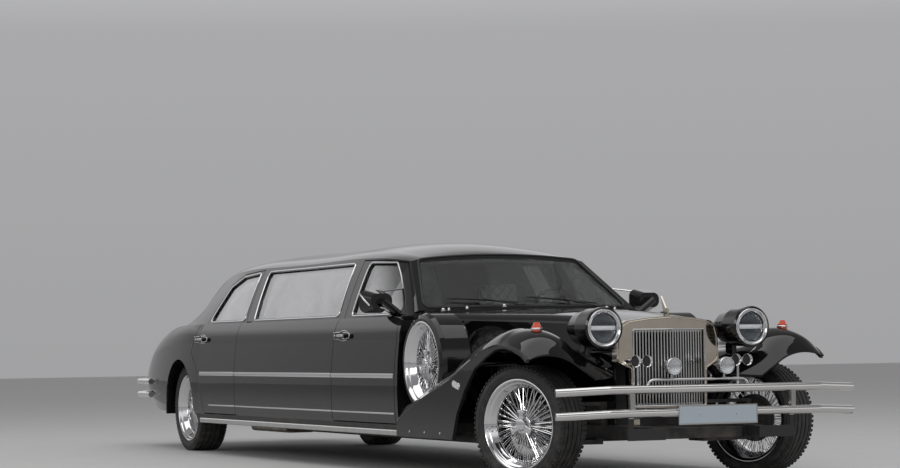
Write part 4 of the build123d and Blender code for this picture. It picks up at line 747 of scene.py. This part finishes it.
# wheels; profiles are radius and place along the axle, outwards
wheelPlan = {
    "rim": [(0.266, 0.107), (0.2662, 0.099), (0.252, 0.092), (0.249, 0.06), (0.23, 0.04),
            (0.22, 0.02), (0.22, -0.04), (0.249, -0.08), (0.252, -0.092), (0.266, -0.097),
            (0.266, -0.107), (0.258, -0.107), (0.244, -0.096), (0.241, -0.082), (0.21, -0.042),
            (0.21, 0.018), (0.2125, 0.026), (0.2125, 0.04), (0.2165, 0.05), (0.223, 0.056), (0.235, 0.078),
            (0.242, 0.086), (0.2445, 0.087), (0.25, 0.096), (0.256, 0.1055), (0.261, 0.1085)],
    "hub": [(0.0, -0.034), (0.062, -0.034), (0.066, -0.02), (0.06, -0.01), (0.048, 0.0), (0.044, 0.02),
            (0.044, 0.04), (0.052, 0.044), (0.053, 0.058), (0.05, 0.06), (0.038, 0.061), (0.036, 0.066),
            (0.034, 0.084), (0.031, 0.089), (0.022, 0.0915), (0.0, 0.092)],
    "disc": [(0.0665, -0.033), (0.145, -0.033), (0.1455, -0.032), (0.1455, -0.0215), (0.145, -0.0205),
             (0.1, -0.0205), (0.098, -0.018), (0.0665, -0.018)],
    "rows": [  # hub radius, hub place, rim radius, rim place, twist in degrees, count
        (0.05, 0.055, 0.214, 0.038, 4, 36), (0.05, 0.048, 0.214, 0.03, -4, 36),
        (0.06, -0.016, 0.211, 0.006, 9, 18), (0.06, -0.022, 0.211, -0.006, -9, 18),
    ],
    "spoke": 0.0025,
    "tyre": [(0.2523, 0.091), (0.266, 0.096), (0.269, 0.106), (0.276, 0.1115), (0.28, 0.115), (0.283, 0.116),
             (0.285, 0.1145), (0.298, 0.1165), (0.301, 0.1178), (0.305, 0.1178), (0.308, 0.1162), (0.32, 0.113),
             (0.333, 0.104), (0.34, 0.09), (0.3425, 0.064), (0.335, 0.063), (0.335, 0.056), (0.344, 0.055),
             (0.3448, 0.025), (0.336, 0.024), (0.336, 0.016), (0.3448, 0.015)],
    "lugs": 74, "lug places": [(0.3315, 0.0975), (0.3396, 0.079)],  # on the shoulder and on the tread's edge
    "lug sizes": [(0.013, 0.018, 0.028), (0.008, 0.02, 0.024)],
    "kingpin": 0.715, "spindle": 0.09, "rear": 0.785, "height": 0.345, "steer": 23,
    "spare": (-1.14, 0.86, 0.7),
}


def wheelMatrix(place, outward):
    # local Z points outwards along the axle and local X upwards
    outward = Vector(outward).normalized()
    up = Vector((0, 0, 1))
    return Matrix.Translation(place) @ Matrix((up, outward.cross(up), outward)).transposed().to_4x4()


def buildWheel(name, matrix, body, replaced):
    bm = bmesh.new()
    spinProfile(bm, wheelPlan["rim"], 72)
    for hubRadius, hubPlace, rimRadius, rimPlace, twist, count in wheelPlan["rows"]:
        for index in range(count):
            angle = math.tau * index / count
            reach = angle + math.radians(twist)
            rod(bm, (hubRadius * math.cos(angle), hubRadius * math.sin(angle), hubPlace),
                (rimRadius * math.cos(reach), rimRadius * math.sin(reach), rimPlace), wheelPlan["spoke"], sides=5)
    hub = bmesh.new()
    spinProfile(hub, wheelPlan["hub"], 40, closed=False)
    for index in range(3):
        turn = Matrix.Rotation(math.tau * index / 3, 4, "Z")
        block(hub, turn @ Vector((0.053, 0, 0.075)), (0.058, 0.034, 0.016), bevel=0.006, turn=turn)
        block(hub, turn @ Vector((0.076, 0, 0.078)), (0.02, 0.05, 0.018), bevel=0.007, turn=turn)
    joinPart(bm, hub)
    bm.transform(matrix)
    piece = addPiece(name, bm, body=body, sharp=40)
    if replaced:
        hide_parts(replaced)
    if body != "body":
        disc = bmesh.new()
        spinProfile(disc, wheelPlan["disc"], 48)
        disc.transform(matrix)
        addPiece(name + "_brakeDisc", disc, "casting", body)


def buildTyre(name, matrix, body, replaced):
    bm = bmesh.new()
    half = wheelPlan["tyre"]
    spinProfile(bm, half + [(radius, -place) for radius, place in reversed(half)], 96)
    for index in range(wheelPlan["lugs"]):
        for side in (1, -1):
            angle = math.tau * (index + (0.25 if side > 0 else 0.75)) / wheelPlan["lugs"]
            turn = Matrix.Rotation(angle, 4, "Z")
            lean = turn @ Matrix.Rotation(math.radians(40 * side), 4, "Y")
            for (radius, place), size, way in zip(wheelPlan["lug places"], wheelPlan["lug sizes"], (lean, turn)):
                block(bm, turn @ Vector((radius, 0, side * place)), size, bevel=0.002, turn=way, segments=1)
    bm.transform(matrix)
    piece = addPiece(name, bm, "tyre", body, sharp=32)
    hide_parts(replaced)


for label, side in bothSides:
    outward = Vector((0, side, 0))
    outward.rotate(Matrix.Rotation(math.radians(wheelPlan["steer"]), 3, "Z"))
    frontPlace = Vector((frontAxle, side * wheelPlan["kingpin"], wheelPlan["height"])) + outward * wheelPlan["spindle"]
    frontMatrix = wheelMatrix(frontPlace, outward)
    rearMatrix = wheelMatrix((rearAxle, side * wheelPlan["rear"], wheelPlan["height"]), (0, side, 0))
    for end, matrix in (("front_", frontMatrix), ("rear_", rearMatrix)):
        buildWheel("wireWheel_" + end + label, matrix, "wheel_" + end + label, "wheel_" + end + label)
        buildTyre("treadedTyre_" + end + label, matrix, "wheel_" + end + label, "tyre_" + end + label)
for label, side, replaced in (("right", -1, "spare_wheels"), ("left", 1, None)):
    ahead, away, height = wheelPlan["spare"]
    matrix = wheelMatrix((frontAxle + ahead, side * away, height), (0, side, 0))
    buildWheel("spareWheel_" + label, matrix, "body", replaced)
print("wheels and tyres")

# headlamps; profiles are radius and place along the lamp, forwards
lampPlan = {
    "spots": [(frontAxle + 0.4, side * 0.497, 0.9) for side in (-1, 1)], "steps": 64,
    "ring": [(0.0975, -0.021), (0.104, -0.01), (0.1045, 0.006), (0.1088, 0.0145), (0.107, 0.017),
             (0.104, 0.0178), (0.0985, 0.015), (0.096, 0.011), (0.0925, 0.0125), (0.0885, 0.0105),
             (0.0865, 0.004), (0.0865, -0.006), (0.09, -0.02)],
    "reflector": [(0.0976, -0.016), (0.0976, -0.0215), (0.0, -0.0215), (0.0, -0.0205), (0.018, -0.0205),
                  (0.02, -0.015), (0.026, -0.0145), (0.03, -0.019), (0.05, -0.0195), (0.08, -0.015),
                  (0.0865, -0.008)],
    "dome": [(0.0868, -0.008), (0.087, 0.001), (0.08, 0.0055), (0.06, 0.009), (0.03, 0.0118), (0.0, 0.0126),
             (0.0, 0.01), (0.03, 0.0092), (0.06, 0.0064), (0.078, 0.003), (0.0835, -0.0015),
             (0.084, -0.008)],
    "bars": [(-0.0075, (0.01, 0.158, 0.017), 0.004), (-0.0115, (0.01, 0.166, 0.026), 0.003)],
}


def lampPart(name, profile, look, closed=False):
    bm = bmesh.new()
    for spot in lampPlan["spots"]:
        addSpin(bm, lampPlan[profile], lampPlan["steps"], spot, (1, 0, 0), closed)
    return addPiece(name, bm, look)


lampPart("headlampRings", "ring", "chrome", closed=True)
# the reflectors carry a painted dark reflection in their colour
lampPart("headlampReflectors", "reflector", "darkReflectionPainted")
lampGlass = lampPart("headlampDomes", "dome", "clearGlass")
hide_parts("headlamp_lenses")
# painted highlight: pale bars behind each dome glass, standing in for the bright glint across the lamp
bars = bmesh.new()
for spot in lampPlan["spots"]:
    for back, size, bevel in lampPlan["bars"]:
        block(bars, Vector(spot) + Vector((back, 0, 0)), size, bevel=bevel)
addPiece("headlampBars", bars, "paintedHighlightBar")

# fog lamps and horns on the lamp bar
barPlan = {
    "x": frontAxle + 0.618, "fog": (0.175, 0.675), "horn": (0.335, 0.706), "pair": (-0.038, 0.038),
    "body": [(0.0, -0.046), (0.018, -0.045), (0.032, -0.034), (0.043, -0.012), (0.047, 0.01), (0.05, 0.016),
             (0.0505, 0.036), (0.048, 0.0405), (0.044, 0.04), (0.043, 0.033), (0.0, 0.025)],
    "lens": [(0.0, 0.03), (0.0425, 0.0345), (0.0432, 0.0385), (0.03, 0.0405), (0.0, 0.0415)],
    "bell": [(0.0, -0.1), (0.013, -0.1), (0.0135, -0.07), (0.015, -0.05), (0.02, -0.028), (0.028, -0.01),
             (0.034, -0.002), (0.0345, 0.0), (0.0335, 0.0005), (0.027, -0.007), (0.018, -0.026), (0.011, -0.052),
             (0.0, -0.056)],
    "rods": [((0, 0.175, 0.596), 0.63, 0.0065), ((0, 0.175, 0.603), 0.609, 0.012),  # foot, top, radius
             ((-0.11, 0.335, 0.548), 0.696, 0.008)],
    "blocks": [((-0.06, 0.335, 0.55), (0.14, 0.02, 0.008), 0.002, 0),
               ((-0.12, 0.335, 0.703), (0.04, 0.09, 0.018), 0.004, 0)],
    "plug": (0.076, 0.07, 0.0235), "bell back": 0.06,
    "tube": 0.008, "tube end": (0.335, 0.516), "bend": (0.29, 0.553), "bend radius": 0.045,
}
barX = barPlan["x"]
horns, hornInsides, fogGlass = bmesh.new(), bmesh.new(), bmesh.new()
for side in (-1, 1):
    fogY, hornY = side * barPlan["fog"][0], side * barPlan["horn"][0]
    hornZ = barPlan["horn"][1]
    for target, profile in ((horns, "body"), (fogGlass, "lens")):
        addSpin(target, barPlan[profile], 40, (barX, fogY, barPlan["fog"][1]), (1, 0, 0), closed=False)
    for (ahead, away, low), high, radius in barPlan["rods"]:
        rod(horns, (barX + ahead, side * away, low), (barX + ahead, side * away, high), radius, sides=12)
    addBlocks(horns, barPlan["blocks"], barX, side)
    start, end, radius = barPlan["plug"]
    for offset in barPlan["pair"]:
        rod(hornInsides, (barX - start, hornY + offset, hornZ), (barX - end, hornY + offset, hornZ), radius, sides=28)
        mouth = (barX - barPlan["bell back"], hornY + offset, hornZ)
        addSpin(horns, barPlan["bell"], 36, mouth, (1, 0, 0), closed=False)
hornPiece = addPiece("lampBarFittings", horns)
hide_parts("lamp_bar")
addPiece("fogLenses", fogGlass, "lens", "body")
addPiece("hornInsides", hornInsides, "rubberTrim")

# the bar itself: up from each end, a bend, then across
bendY, bendZ = barPlan["bend"]
barPath = [(barX, *barPlan["tube end"])]
for k in range(9):
    angle = math.radians(90 * k / 8)
    barPath.append((barX, bendY + barPlan["bend radius"] * math.cos(angle),
                    bendZ + barPlan["bend radius"] * math.sin(angle)))
barPath += [(x, -y, z) for x, y, z in reversed(barPath)]
tubePiece("lampBarTube", [barPath], barPlan["tube"], closed=False)

# beads and core of the radiator
radiatorPlan = {
    "from": 4.2, "lift": 0.0008, "spacing": 0.03,
    "opening": [(-0.2425, 0.44), (0.2425, 0.44), (0.2425, 0.8905), (-0.2425, 0.8905)],
    "edge": [(-0.247, 0.432), (-0.252, 0.662), (-0.334, 0.712), (-0.329, 0.848), (-0.312, 0.905), (-0.258, 0.935),
             (-0.135, 0.951)], "top": (0, 0.959),
    "core": (0.212, 0.662, (0.012, 0.474, 0.44)), "fin": (0.219, 0.662, (0.006, 0.0022, 0.43)),
    "fins": 60, "first": -0.23, "pitch": 0.0078,
}
shellFace = surfaceOf("radiator_shell")


def faceBead(name, outline, corner, radius, look):
    spots = [(radiatorPlan["from"], spot.x, spot.y)
             for spot in roundedOutline(outline, corner, spacing=radiatorPlan["spacing"])]
    path = pathOn(shellFace, spots, (-1, 0, 0), radiatorPlan["lift"])
    tubePiece(name, [path], radius, look)


faceBead("grilleBead", radiatorPlan["opening"], 0.01, 0.0042, "chrome")
halfEdge = radiatorPlan["edge"]
faceBead("shellBead", halfEdge + [radiatorPlan["top"]] + [(-y, z) for y, z in reversed(halfEdge)], 0.02, 0.0036,
         "shell")
core = bmesh.new()
ahead, height, size = radiatorPlan["core"]
block(core, (frontAxle + ahead, 0, height), size, bevel=0.002)
ahead, height, size = radiatorPlan["fin"]
for index in range(radiatorPlan["fins"]):
    block(core, (frontAxle + ahead, radiatorPlan["first"] + radiatorPlan["pitch"] * index, height), size)
addPiece("radiatorCore", core, "frame", "body")
print("lamps, horns and radiator core")

# small lamps
smallPlan = {
    "sleeve": [(0.0302, -0.005), (0.0345, -0.0035), (0.035, 0.003), (0.0325, 0.006), (0.0302, 0.0065)],
    "sleeve place": (0.215, 0.835, 0.9),
    "marker": (-0.545, 1.003, 0.572), "marker size": (0.1, 0.035), "marker turn": -14, "marker bead": 0.0042,
    "tail": [(0.614, 0.62), (0.614, 0.8), (0.672, 0.812), (0.728, 0.77), (0.75, 0.62)],
    "tail corner": 0.012, "tail bead": 0.0055, "tail ahead": 0.0045,
}
sleeves = bmesh.new()
ahead, away, height = smallPlan["sleeve place"]
for side in (-1, 1):
    addSpin(sleeves, smallPlan["sleeve"], 32, (frontAxle + ahead, side * away, height), (0, 0, 1))
addPiece("wingLampSleeves", sleeves)


def slotPath(side, steps=8):
    # outline of a rounded slot on the car's flank
    ahead, away, height = smallPlan["marker"]
    length, tall = smallPlan["marker size"]
    turn = math.radians(smallPlan["marker turn"])
    radius = tall / 2
    path = []
    for end in (1, -1):
        for k in range(steps + 1):
            angle = math.radians(-90 + 180 * k / steps) + (0 if end > 0 else math.pi)
            along = end * (length / 2 - radius) + radius * math.cos(angle)
            up = radius * math.sin(angle)
            path.append((frontAxle + ahead + along * math.cos(turn) - up * math.sin(turn), side * away,
                         height + along * math.sin(turn) + up * math.cos(turn)))
    return path


tubePiece("markerBezels", [slotPath(side) for side in (-1, 1)], smallPlan["marker bead"])
lampBack = min((nodes["signal_lamps"].matrix_world @ Vector(c)).x for c in nodes["signal_lamps"].bound_box)
tailPaths = []
for side in (-1, 1):
    tailPaths.append([(lampBack + smallPlan["tail ahead"], side * spot.x, spot.y)
                      for spot in roundedOutline(smallPlan["tail"], smallPlan["tail corner"])])
tubePiece("tailLampBezels", tailPaths, smallPlan["tail bead"])

# chrome along the flanks
flankPlan = {
    "spans": [  # owner, ends of the moulding and of the strip behind the axle, front end, solid they lie on
        ("door_front_", -2.586, -2.586, -1.524, "door_front_"), ("body", -4.544, -4.544, -2.602, "side_panel_"),
        ("door_rear_", -5.345, -5.15, -4.562, "door_rear_"),
    ],
    "moulding": (0.622, 0.03, 0.008), "strip": (0.38, 0.011, 0.005),  # height, how tall, how thick
    "beside": 1.3, "inset": 0.02, "usual face": 0.993, "sunk": 0.002, "bevel": 0.0022,
}
for label, side in bothSides:
    for body, mouldingBack, stripBack, ahead, node in flankPlan["spans"]:
        tree = surfaceOf(node + label)
        owner = body if body == "body" else body + label
        for kind, back in (("moulding", mouldingBack), ("strip", stripBack)):
            height, tall, thick = flankPlan[kind]
            faces = []
            for x in (back + flankPlan["inset"], ahead - flankPlan["inset"]):
                hit = castOn(tree, (frontAxle + x, side * flankPlan["beside"], height), (0, -side, 0))
                faces.append(abs(hit.y) if hit is not None else flankPlan["usual face"])
            run = ahead - back - 2 * flankPlan["inset"]
            lean = Matrix.Rotation(math.atan2(side * (faces[1] - faces[0]), run), 4, "Z")
            middle = side * (sum(faces) / 2 + thick / 2 - flankPlan["sunk"])
            bm = bmesh.new()
            block(bm, (frontAxle + (back + ahead) / 2, middle, height),
                  (ahead - back, thick + 2 * flankPlan["sunk"], tall), bevel=flankPlan["bevel"], turn=lean)
            addPiece(kind + "_" + node + label, bm, body=owner)

handlePlan = {
    "places": {"door_front_": -2.41, "door_rear_": -5.33}, "height": 0.888, "reach": (0.103, 0.033),
    "steps": 48, "beside": 1.3, "lift": 0.001, "bead": 0.0036,
    "lever": (0.022, 1.0085, 0.889), "lever size": (0.112, 0.009, 0.017), "lever bevel": 0.004,
    "lock": (-0.072, 1.008), "lock size": (20, 0.009, 0.008, 0.006),  # sides, radii, depth
}
for label, side in bothSides:
    for body, ahead in handlePlan["places"].items():
        middle, height = frontAxle + ahead, handlePlan["height"]
        leverX, leverY, leverZ = handlePlan["lever"]
        lockX, lockY = handlePlan["lock"]
        lever = bmesh.new()
        block(lever, (middle + leverX, side * leverY, leverZ), handlePlan["lever size"],
              bevel=handlePlan["lever bevel"])
        stud(lever, *handlePlan["lock size"], (middle + lockX, side * lockY, height), (0, side, 0))
        addPiece("doorLever_" + body + label, lever, body=body + label)
        spots = []
        for k in range(handlePlan["steps"]):
            angle = math.tau * k / handlePlan["steps"]
            spots.append((middle + handlePlan["reach"][0] * math.cos(angle), side * handlePlan["beside"],
                          height + handlePlan["reach"][1] * math.sin(angle)))
        rim = pathOn(surfaceOf(body + label), spots, (0, -side, 0), handlePlan["lift"])
        tubePiece("handleRim_" + body + label, [rim], handlePlan["bead"], body=body + label)

# fasteners of the skirt
boltPlan = {"ahead": (-1.25, -1.02, -0.79), "away": 1.002, "height": 0.275, "size": (6, 0.0085, 0.0075, 0.007)}
bolts = bmesh.new()
for side in (-1, 1):
    for ahead in boltPlan["ahead"]:
        stud(bolts, *boltPlan["size"], (frontAxle + ahead, side * boltPlan["away"], boltPlan["height"]), (0, side, 0))
addPiece("skirtBolts", bolts)

mirrorPlan = [((-1.8305, 1.0, 1.105), (0.003, 0.15, 0.112), 0.0012, 0)]
for label, side in bothSides:
    plate = bmesh.new()
    addBlocks(plate, mirrorPlan, side=side)
    addPiece("mirrorGlass_" + label, plate, body="door_front_" + label)

# wipers on the windshield, and fittings on the cowl
wiperPlan = {
    "pairs": [(0.52, 0.02), (-0.06, -0.56)], "above": 2, "foot": 1.5,  # pivot and tip across the car
    "blade": (1.59, 0.045), "steps": 8, "blade lift": (0.006, 0, 0.012), "blade radius": 0.0048,
    "post": (-0.004, 0.016, 0.013), "arm": (0.01, 0.0055), "arm lift": (0.004, 0, 0.008),
}
screen = surfaceOf("windshield", "cowl")
wipers = bmesh.new()
for pivotY, tipY in wiperPlan["pairs"]:
    foot = castOn(screen, (frontAxle - wiperPlan["foot"], pivotY, wiperPlan["above"]), (0, 0, -1))
    points = []
    for k in range(wiperPlan["steps"] + 1):
        y = pivotY + (tipY - pivotY) * k / wiperPlan["steps"]
        x = frontAxle - wiperPlan["blade"][0] - wiperPlan["blade"][1] * k / wiperPlan["steps"]
        points.append(castOn(screen, (x, y, wiperPlan["above"]), (0, 0, -1)) + Vector(wiperPlan["blade lift"]))
    for a, b in zip(points[:-1], points[1:]):
        rod(wipers, a, b, wiperPlan["blade radius"])
    low, high, radius = wiperPlan["post"]
    rod(wipers, foot + Vector((0, 0, low)), foot + Vector((0, 0, high)), radius, sides=16)
    lift, radius = wiperPlan["arm"]
    rod(wipers, foot + Vector((0, 0, lift)), points[4] + Vector(wiperPlan["arm lift"]), radius, sides=8)
addPiece("wipers", wipers, "rubberTrim", "body")

cowlPlan = {
    "back": 1.512, "above": 2,
    "places": [(-0.64, 0.013), (-0.6, 0.008), (-0.47, 0.009), (-0.2, 0.014), (0.56, 0.013), (0.62, 0.008)],
    "shape": [(0.0, -0.004), (1.5, -0.004), (1.5, 0.002), (1, 0.004), (1, 0.012), (0.6, 0.018), (0.0, 0.02)],
}
cowlTop = surfaceOf("cowl")
fittings = bmesh.new()
for y, radius in cowlPlan["places"]:
    hit = castOn(cowlTop, (frontAxle - cowlPlan["back"], y, cowlPlan["above"]), (0, 0, -1))
    if hit is not None:
        shape = [(radius * share, place) for share, place in cowlPlan["shape"]]
        addSpin(fittings, shape, 20, hit, (0, 0, 1), closed=False)
addPiece("cowlFittings", fittings)
print("trims, handles, mirrors and wipers")


def cushion(name, size, place, turnY=0.0, turnX=0.0, crown=0.25):
    # crowned closed cushion with rounded edges; turns are in degrees
    bm = bmesh.new()
    block(bm, (0, 0, 0), size, bevel=min(size) * 0.32, segments=4)
    bmesh.ops.subdivide_edges(bm, edges=[edge for edge in bm.edges if edge.calc_length() > 0.08], cuts=6,
                              use_grid_fill=True)
    half = Vector(size) / 2
    for vert in bm.verts:
        u, v = vert.co.x / half.x, vert.co.y / half.y
        lift = max(0.0, 1 - u * u) * max(0.0, 1 - v * v)
        if vert.co.z > 0:
            vert.co.z += crown * size[2] * lift
    bm.transform(Matrix.Translation(place) @ Matrix.Rotation(math.radians(turnX), 4, "X")
                 @ Matrix.Rotation(math.radians(turnY), 4, "Y"))
    piece = addPiece(name, bm, "quilt", "body", sharp=80)


def cushionRow(rows, label, y):
    for name, size, ahead, height, turn, crown in rows:
        cushion(name + label, size, (frontAxle + ahead, y, height), turnY=turn, crown=crown)


cabinPlan = {
    "front": [  # name, size, place ahead of the axle, height, turn about Y, crown
        ("frontSeatBase_", (0.47, 0.49, 0.15), -2.565, 0.52, 4, 0.25),
        ("frontSeatBack_", (0.56, 0.49, 0.12), -2.86, 0.815, -99, 0.25),
        ("frontHeadrest_", (0.165, 0.28, 0.09), -2.925, 1.165, -96, 0.15),
    ],
    "rear": [
        ("rearBenchBase_", (0.36, 0.38, 0.12), -5.63, 0.575, 0, 0.25),
        ("rearBenchBack_", (0.37, 0.38, 0.105), -5.85, 0.81, -98, 0.25),
    ],
    "side": [  # name, width and height, distance from the middle, height, turn about X
        ("sideBenchBase_", (0.31, 0.12), 0.64, 0.52, 0), ("sideBenchBack_", (0.33, 0.1), 0.79, 0.74, 78),
    ],
    "front away": 0.44, "rear pitch": 0.385, "side ends": (-4.41, -3.09), "side gap": 0.006,
    "seat frames": [((-2.585, 0.44, 0.395), (0.44, 0.43, 0.11), 0.012, 0),
                    ((-2.905, 0.44, 0.8), (0.06, 0.44, 0.52), 0.02, -9)],
    "bench frames": [((-3.75, 0.67, 0.4), (1.32, 0.38, 0.12), 0.012, 0),
                     ((-5.6, 0, 0.44), (0.3, 1.15, 0.11), 0.012, 0)],
    "posts": (-2.93, 1.05, 1.12, 0.006), "post away": (-0.06, 0.06),
}
seatFrames = bmesh.new()
ahead, low, high, radius = cabinPlan["posts"]
for label, side in bothSides:
    y = side * cabinPlan["front away"]
    cushionRow(cabinPlan["front"], label, y)
    addBlocks(seatFrames, cabinPlan["seat frames"], side=side)
    for offset in cabinPlan["post away"]:
        rod(seatFrames, (frontAxle + ahead, y + offset, low), (frontAxle + ahead, y + offset, high), radius, sides=8)
addBlocks(seatFrames, cabinPlan["bench frames"])
start, end = cabinPlan["side ends"]
length = (end - start) / 3
for index in range(3):
    for name, size, y, height, turn in cabinPlan["side"]:
        cushion(name + str(index + 1), (length - cabinPlan["side gap"], *size),
                (frontAxle + start + length * (index + 0.5), y, height), turnX=turn)
for index in range(3):
    cushionRow(cabinPlan["rear"], str(index + 1), cabinPlan["rear pitch"] * (index - 1))
framePiece = addPiece("seatFrames", seatFrames, "leather", "body")
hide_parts("seats")
print("cushions")


# floor, backdrop and light
def floorMaterial():
    material, tree = startMaterial("paleFloor")
    noise = useGroup(tree, fineGrain, Scale=3.0)
    mixOf(tree, noise, (0.5, 0.5, 0.495), (0.56, 0.56, 0.555), "Base Color")
    settle(tree, {"Roughness": 0.8})
    return material


def lightArea(name, place, target, size, power):
    data = bpy.data.lights.new(name, "AREA")
    data.shape = "RECTANGLE"
    data.size, data.size_y = size
    data.energy = power
    lamp = bpy.data.objects.new(name, data)
    bpy.context.collection.objects.link(lamp)
    way = Vector(target) - Vector(place)
    lamp.matrix_world = Matrix.Translation(place) @ way.to_track_quat("-Z", "Y").to_matrix().to_4x4()
    return lamp


floorBm = bmesh.new()
bmesh.ops.create_grid(floorBm, x_segments=1, y_segments=1, size=60)
studioFloor = holdMesh("studioFloor", floorBm)
studioFloor.data.materials.append(floorMaterial())
overhead = lightArea("overhead", (2, -2, 12), (0, 0, 0), (20, 12), 1000)
front = lightArea("frontLight", (16, -14, 7), (1, 0, 0.5), (8, 5), 450)

skyStops = [(0.0, 0.36), (0.13, 0.4), (0.24, 0.85), (0.4, 0.85), (0.52, 0.3), (1.0, 0.24)]  # height and level
world = bpy.data.worlds.new("paleStudio")
bpy.context.scene.world = world
world.use_nodes = True
worldTree = world.node_tree
background = worldTree.nodes["Background"]
skyCoords = worldTree.nodes.new("ShaderNodeTexCoord")
skyParts = worldTree.nodes.new("ShaderNodeSeparateXYZ")
worldTree.links.new(skyCoords.outputs["Generated"], skyParts.inputs["Vector"])
skyRamp = worldTree.nodes.new("ShaderNodeValToRGB")
worldTree.links.new(skyParts.outputs["Z"], skyRamp.inputs["Fac"])
ramp = skyRamp.color_ramp
for index, (position, level) in enumerate(skyStops):
    stop = ramp.elements[index] if index < 2 else ramp.elements.new(position)
    stop.position = position
    stop.color = (level, level, level * 1.02, 1)
worldTree.links.new(skyRamp.outputs["Color"], background.inputs["Color"])
background.inputs["Strength"].default_value = 1.0
print("floor and light")
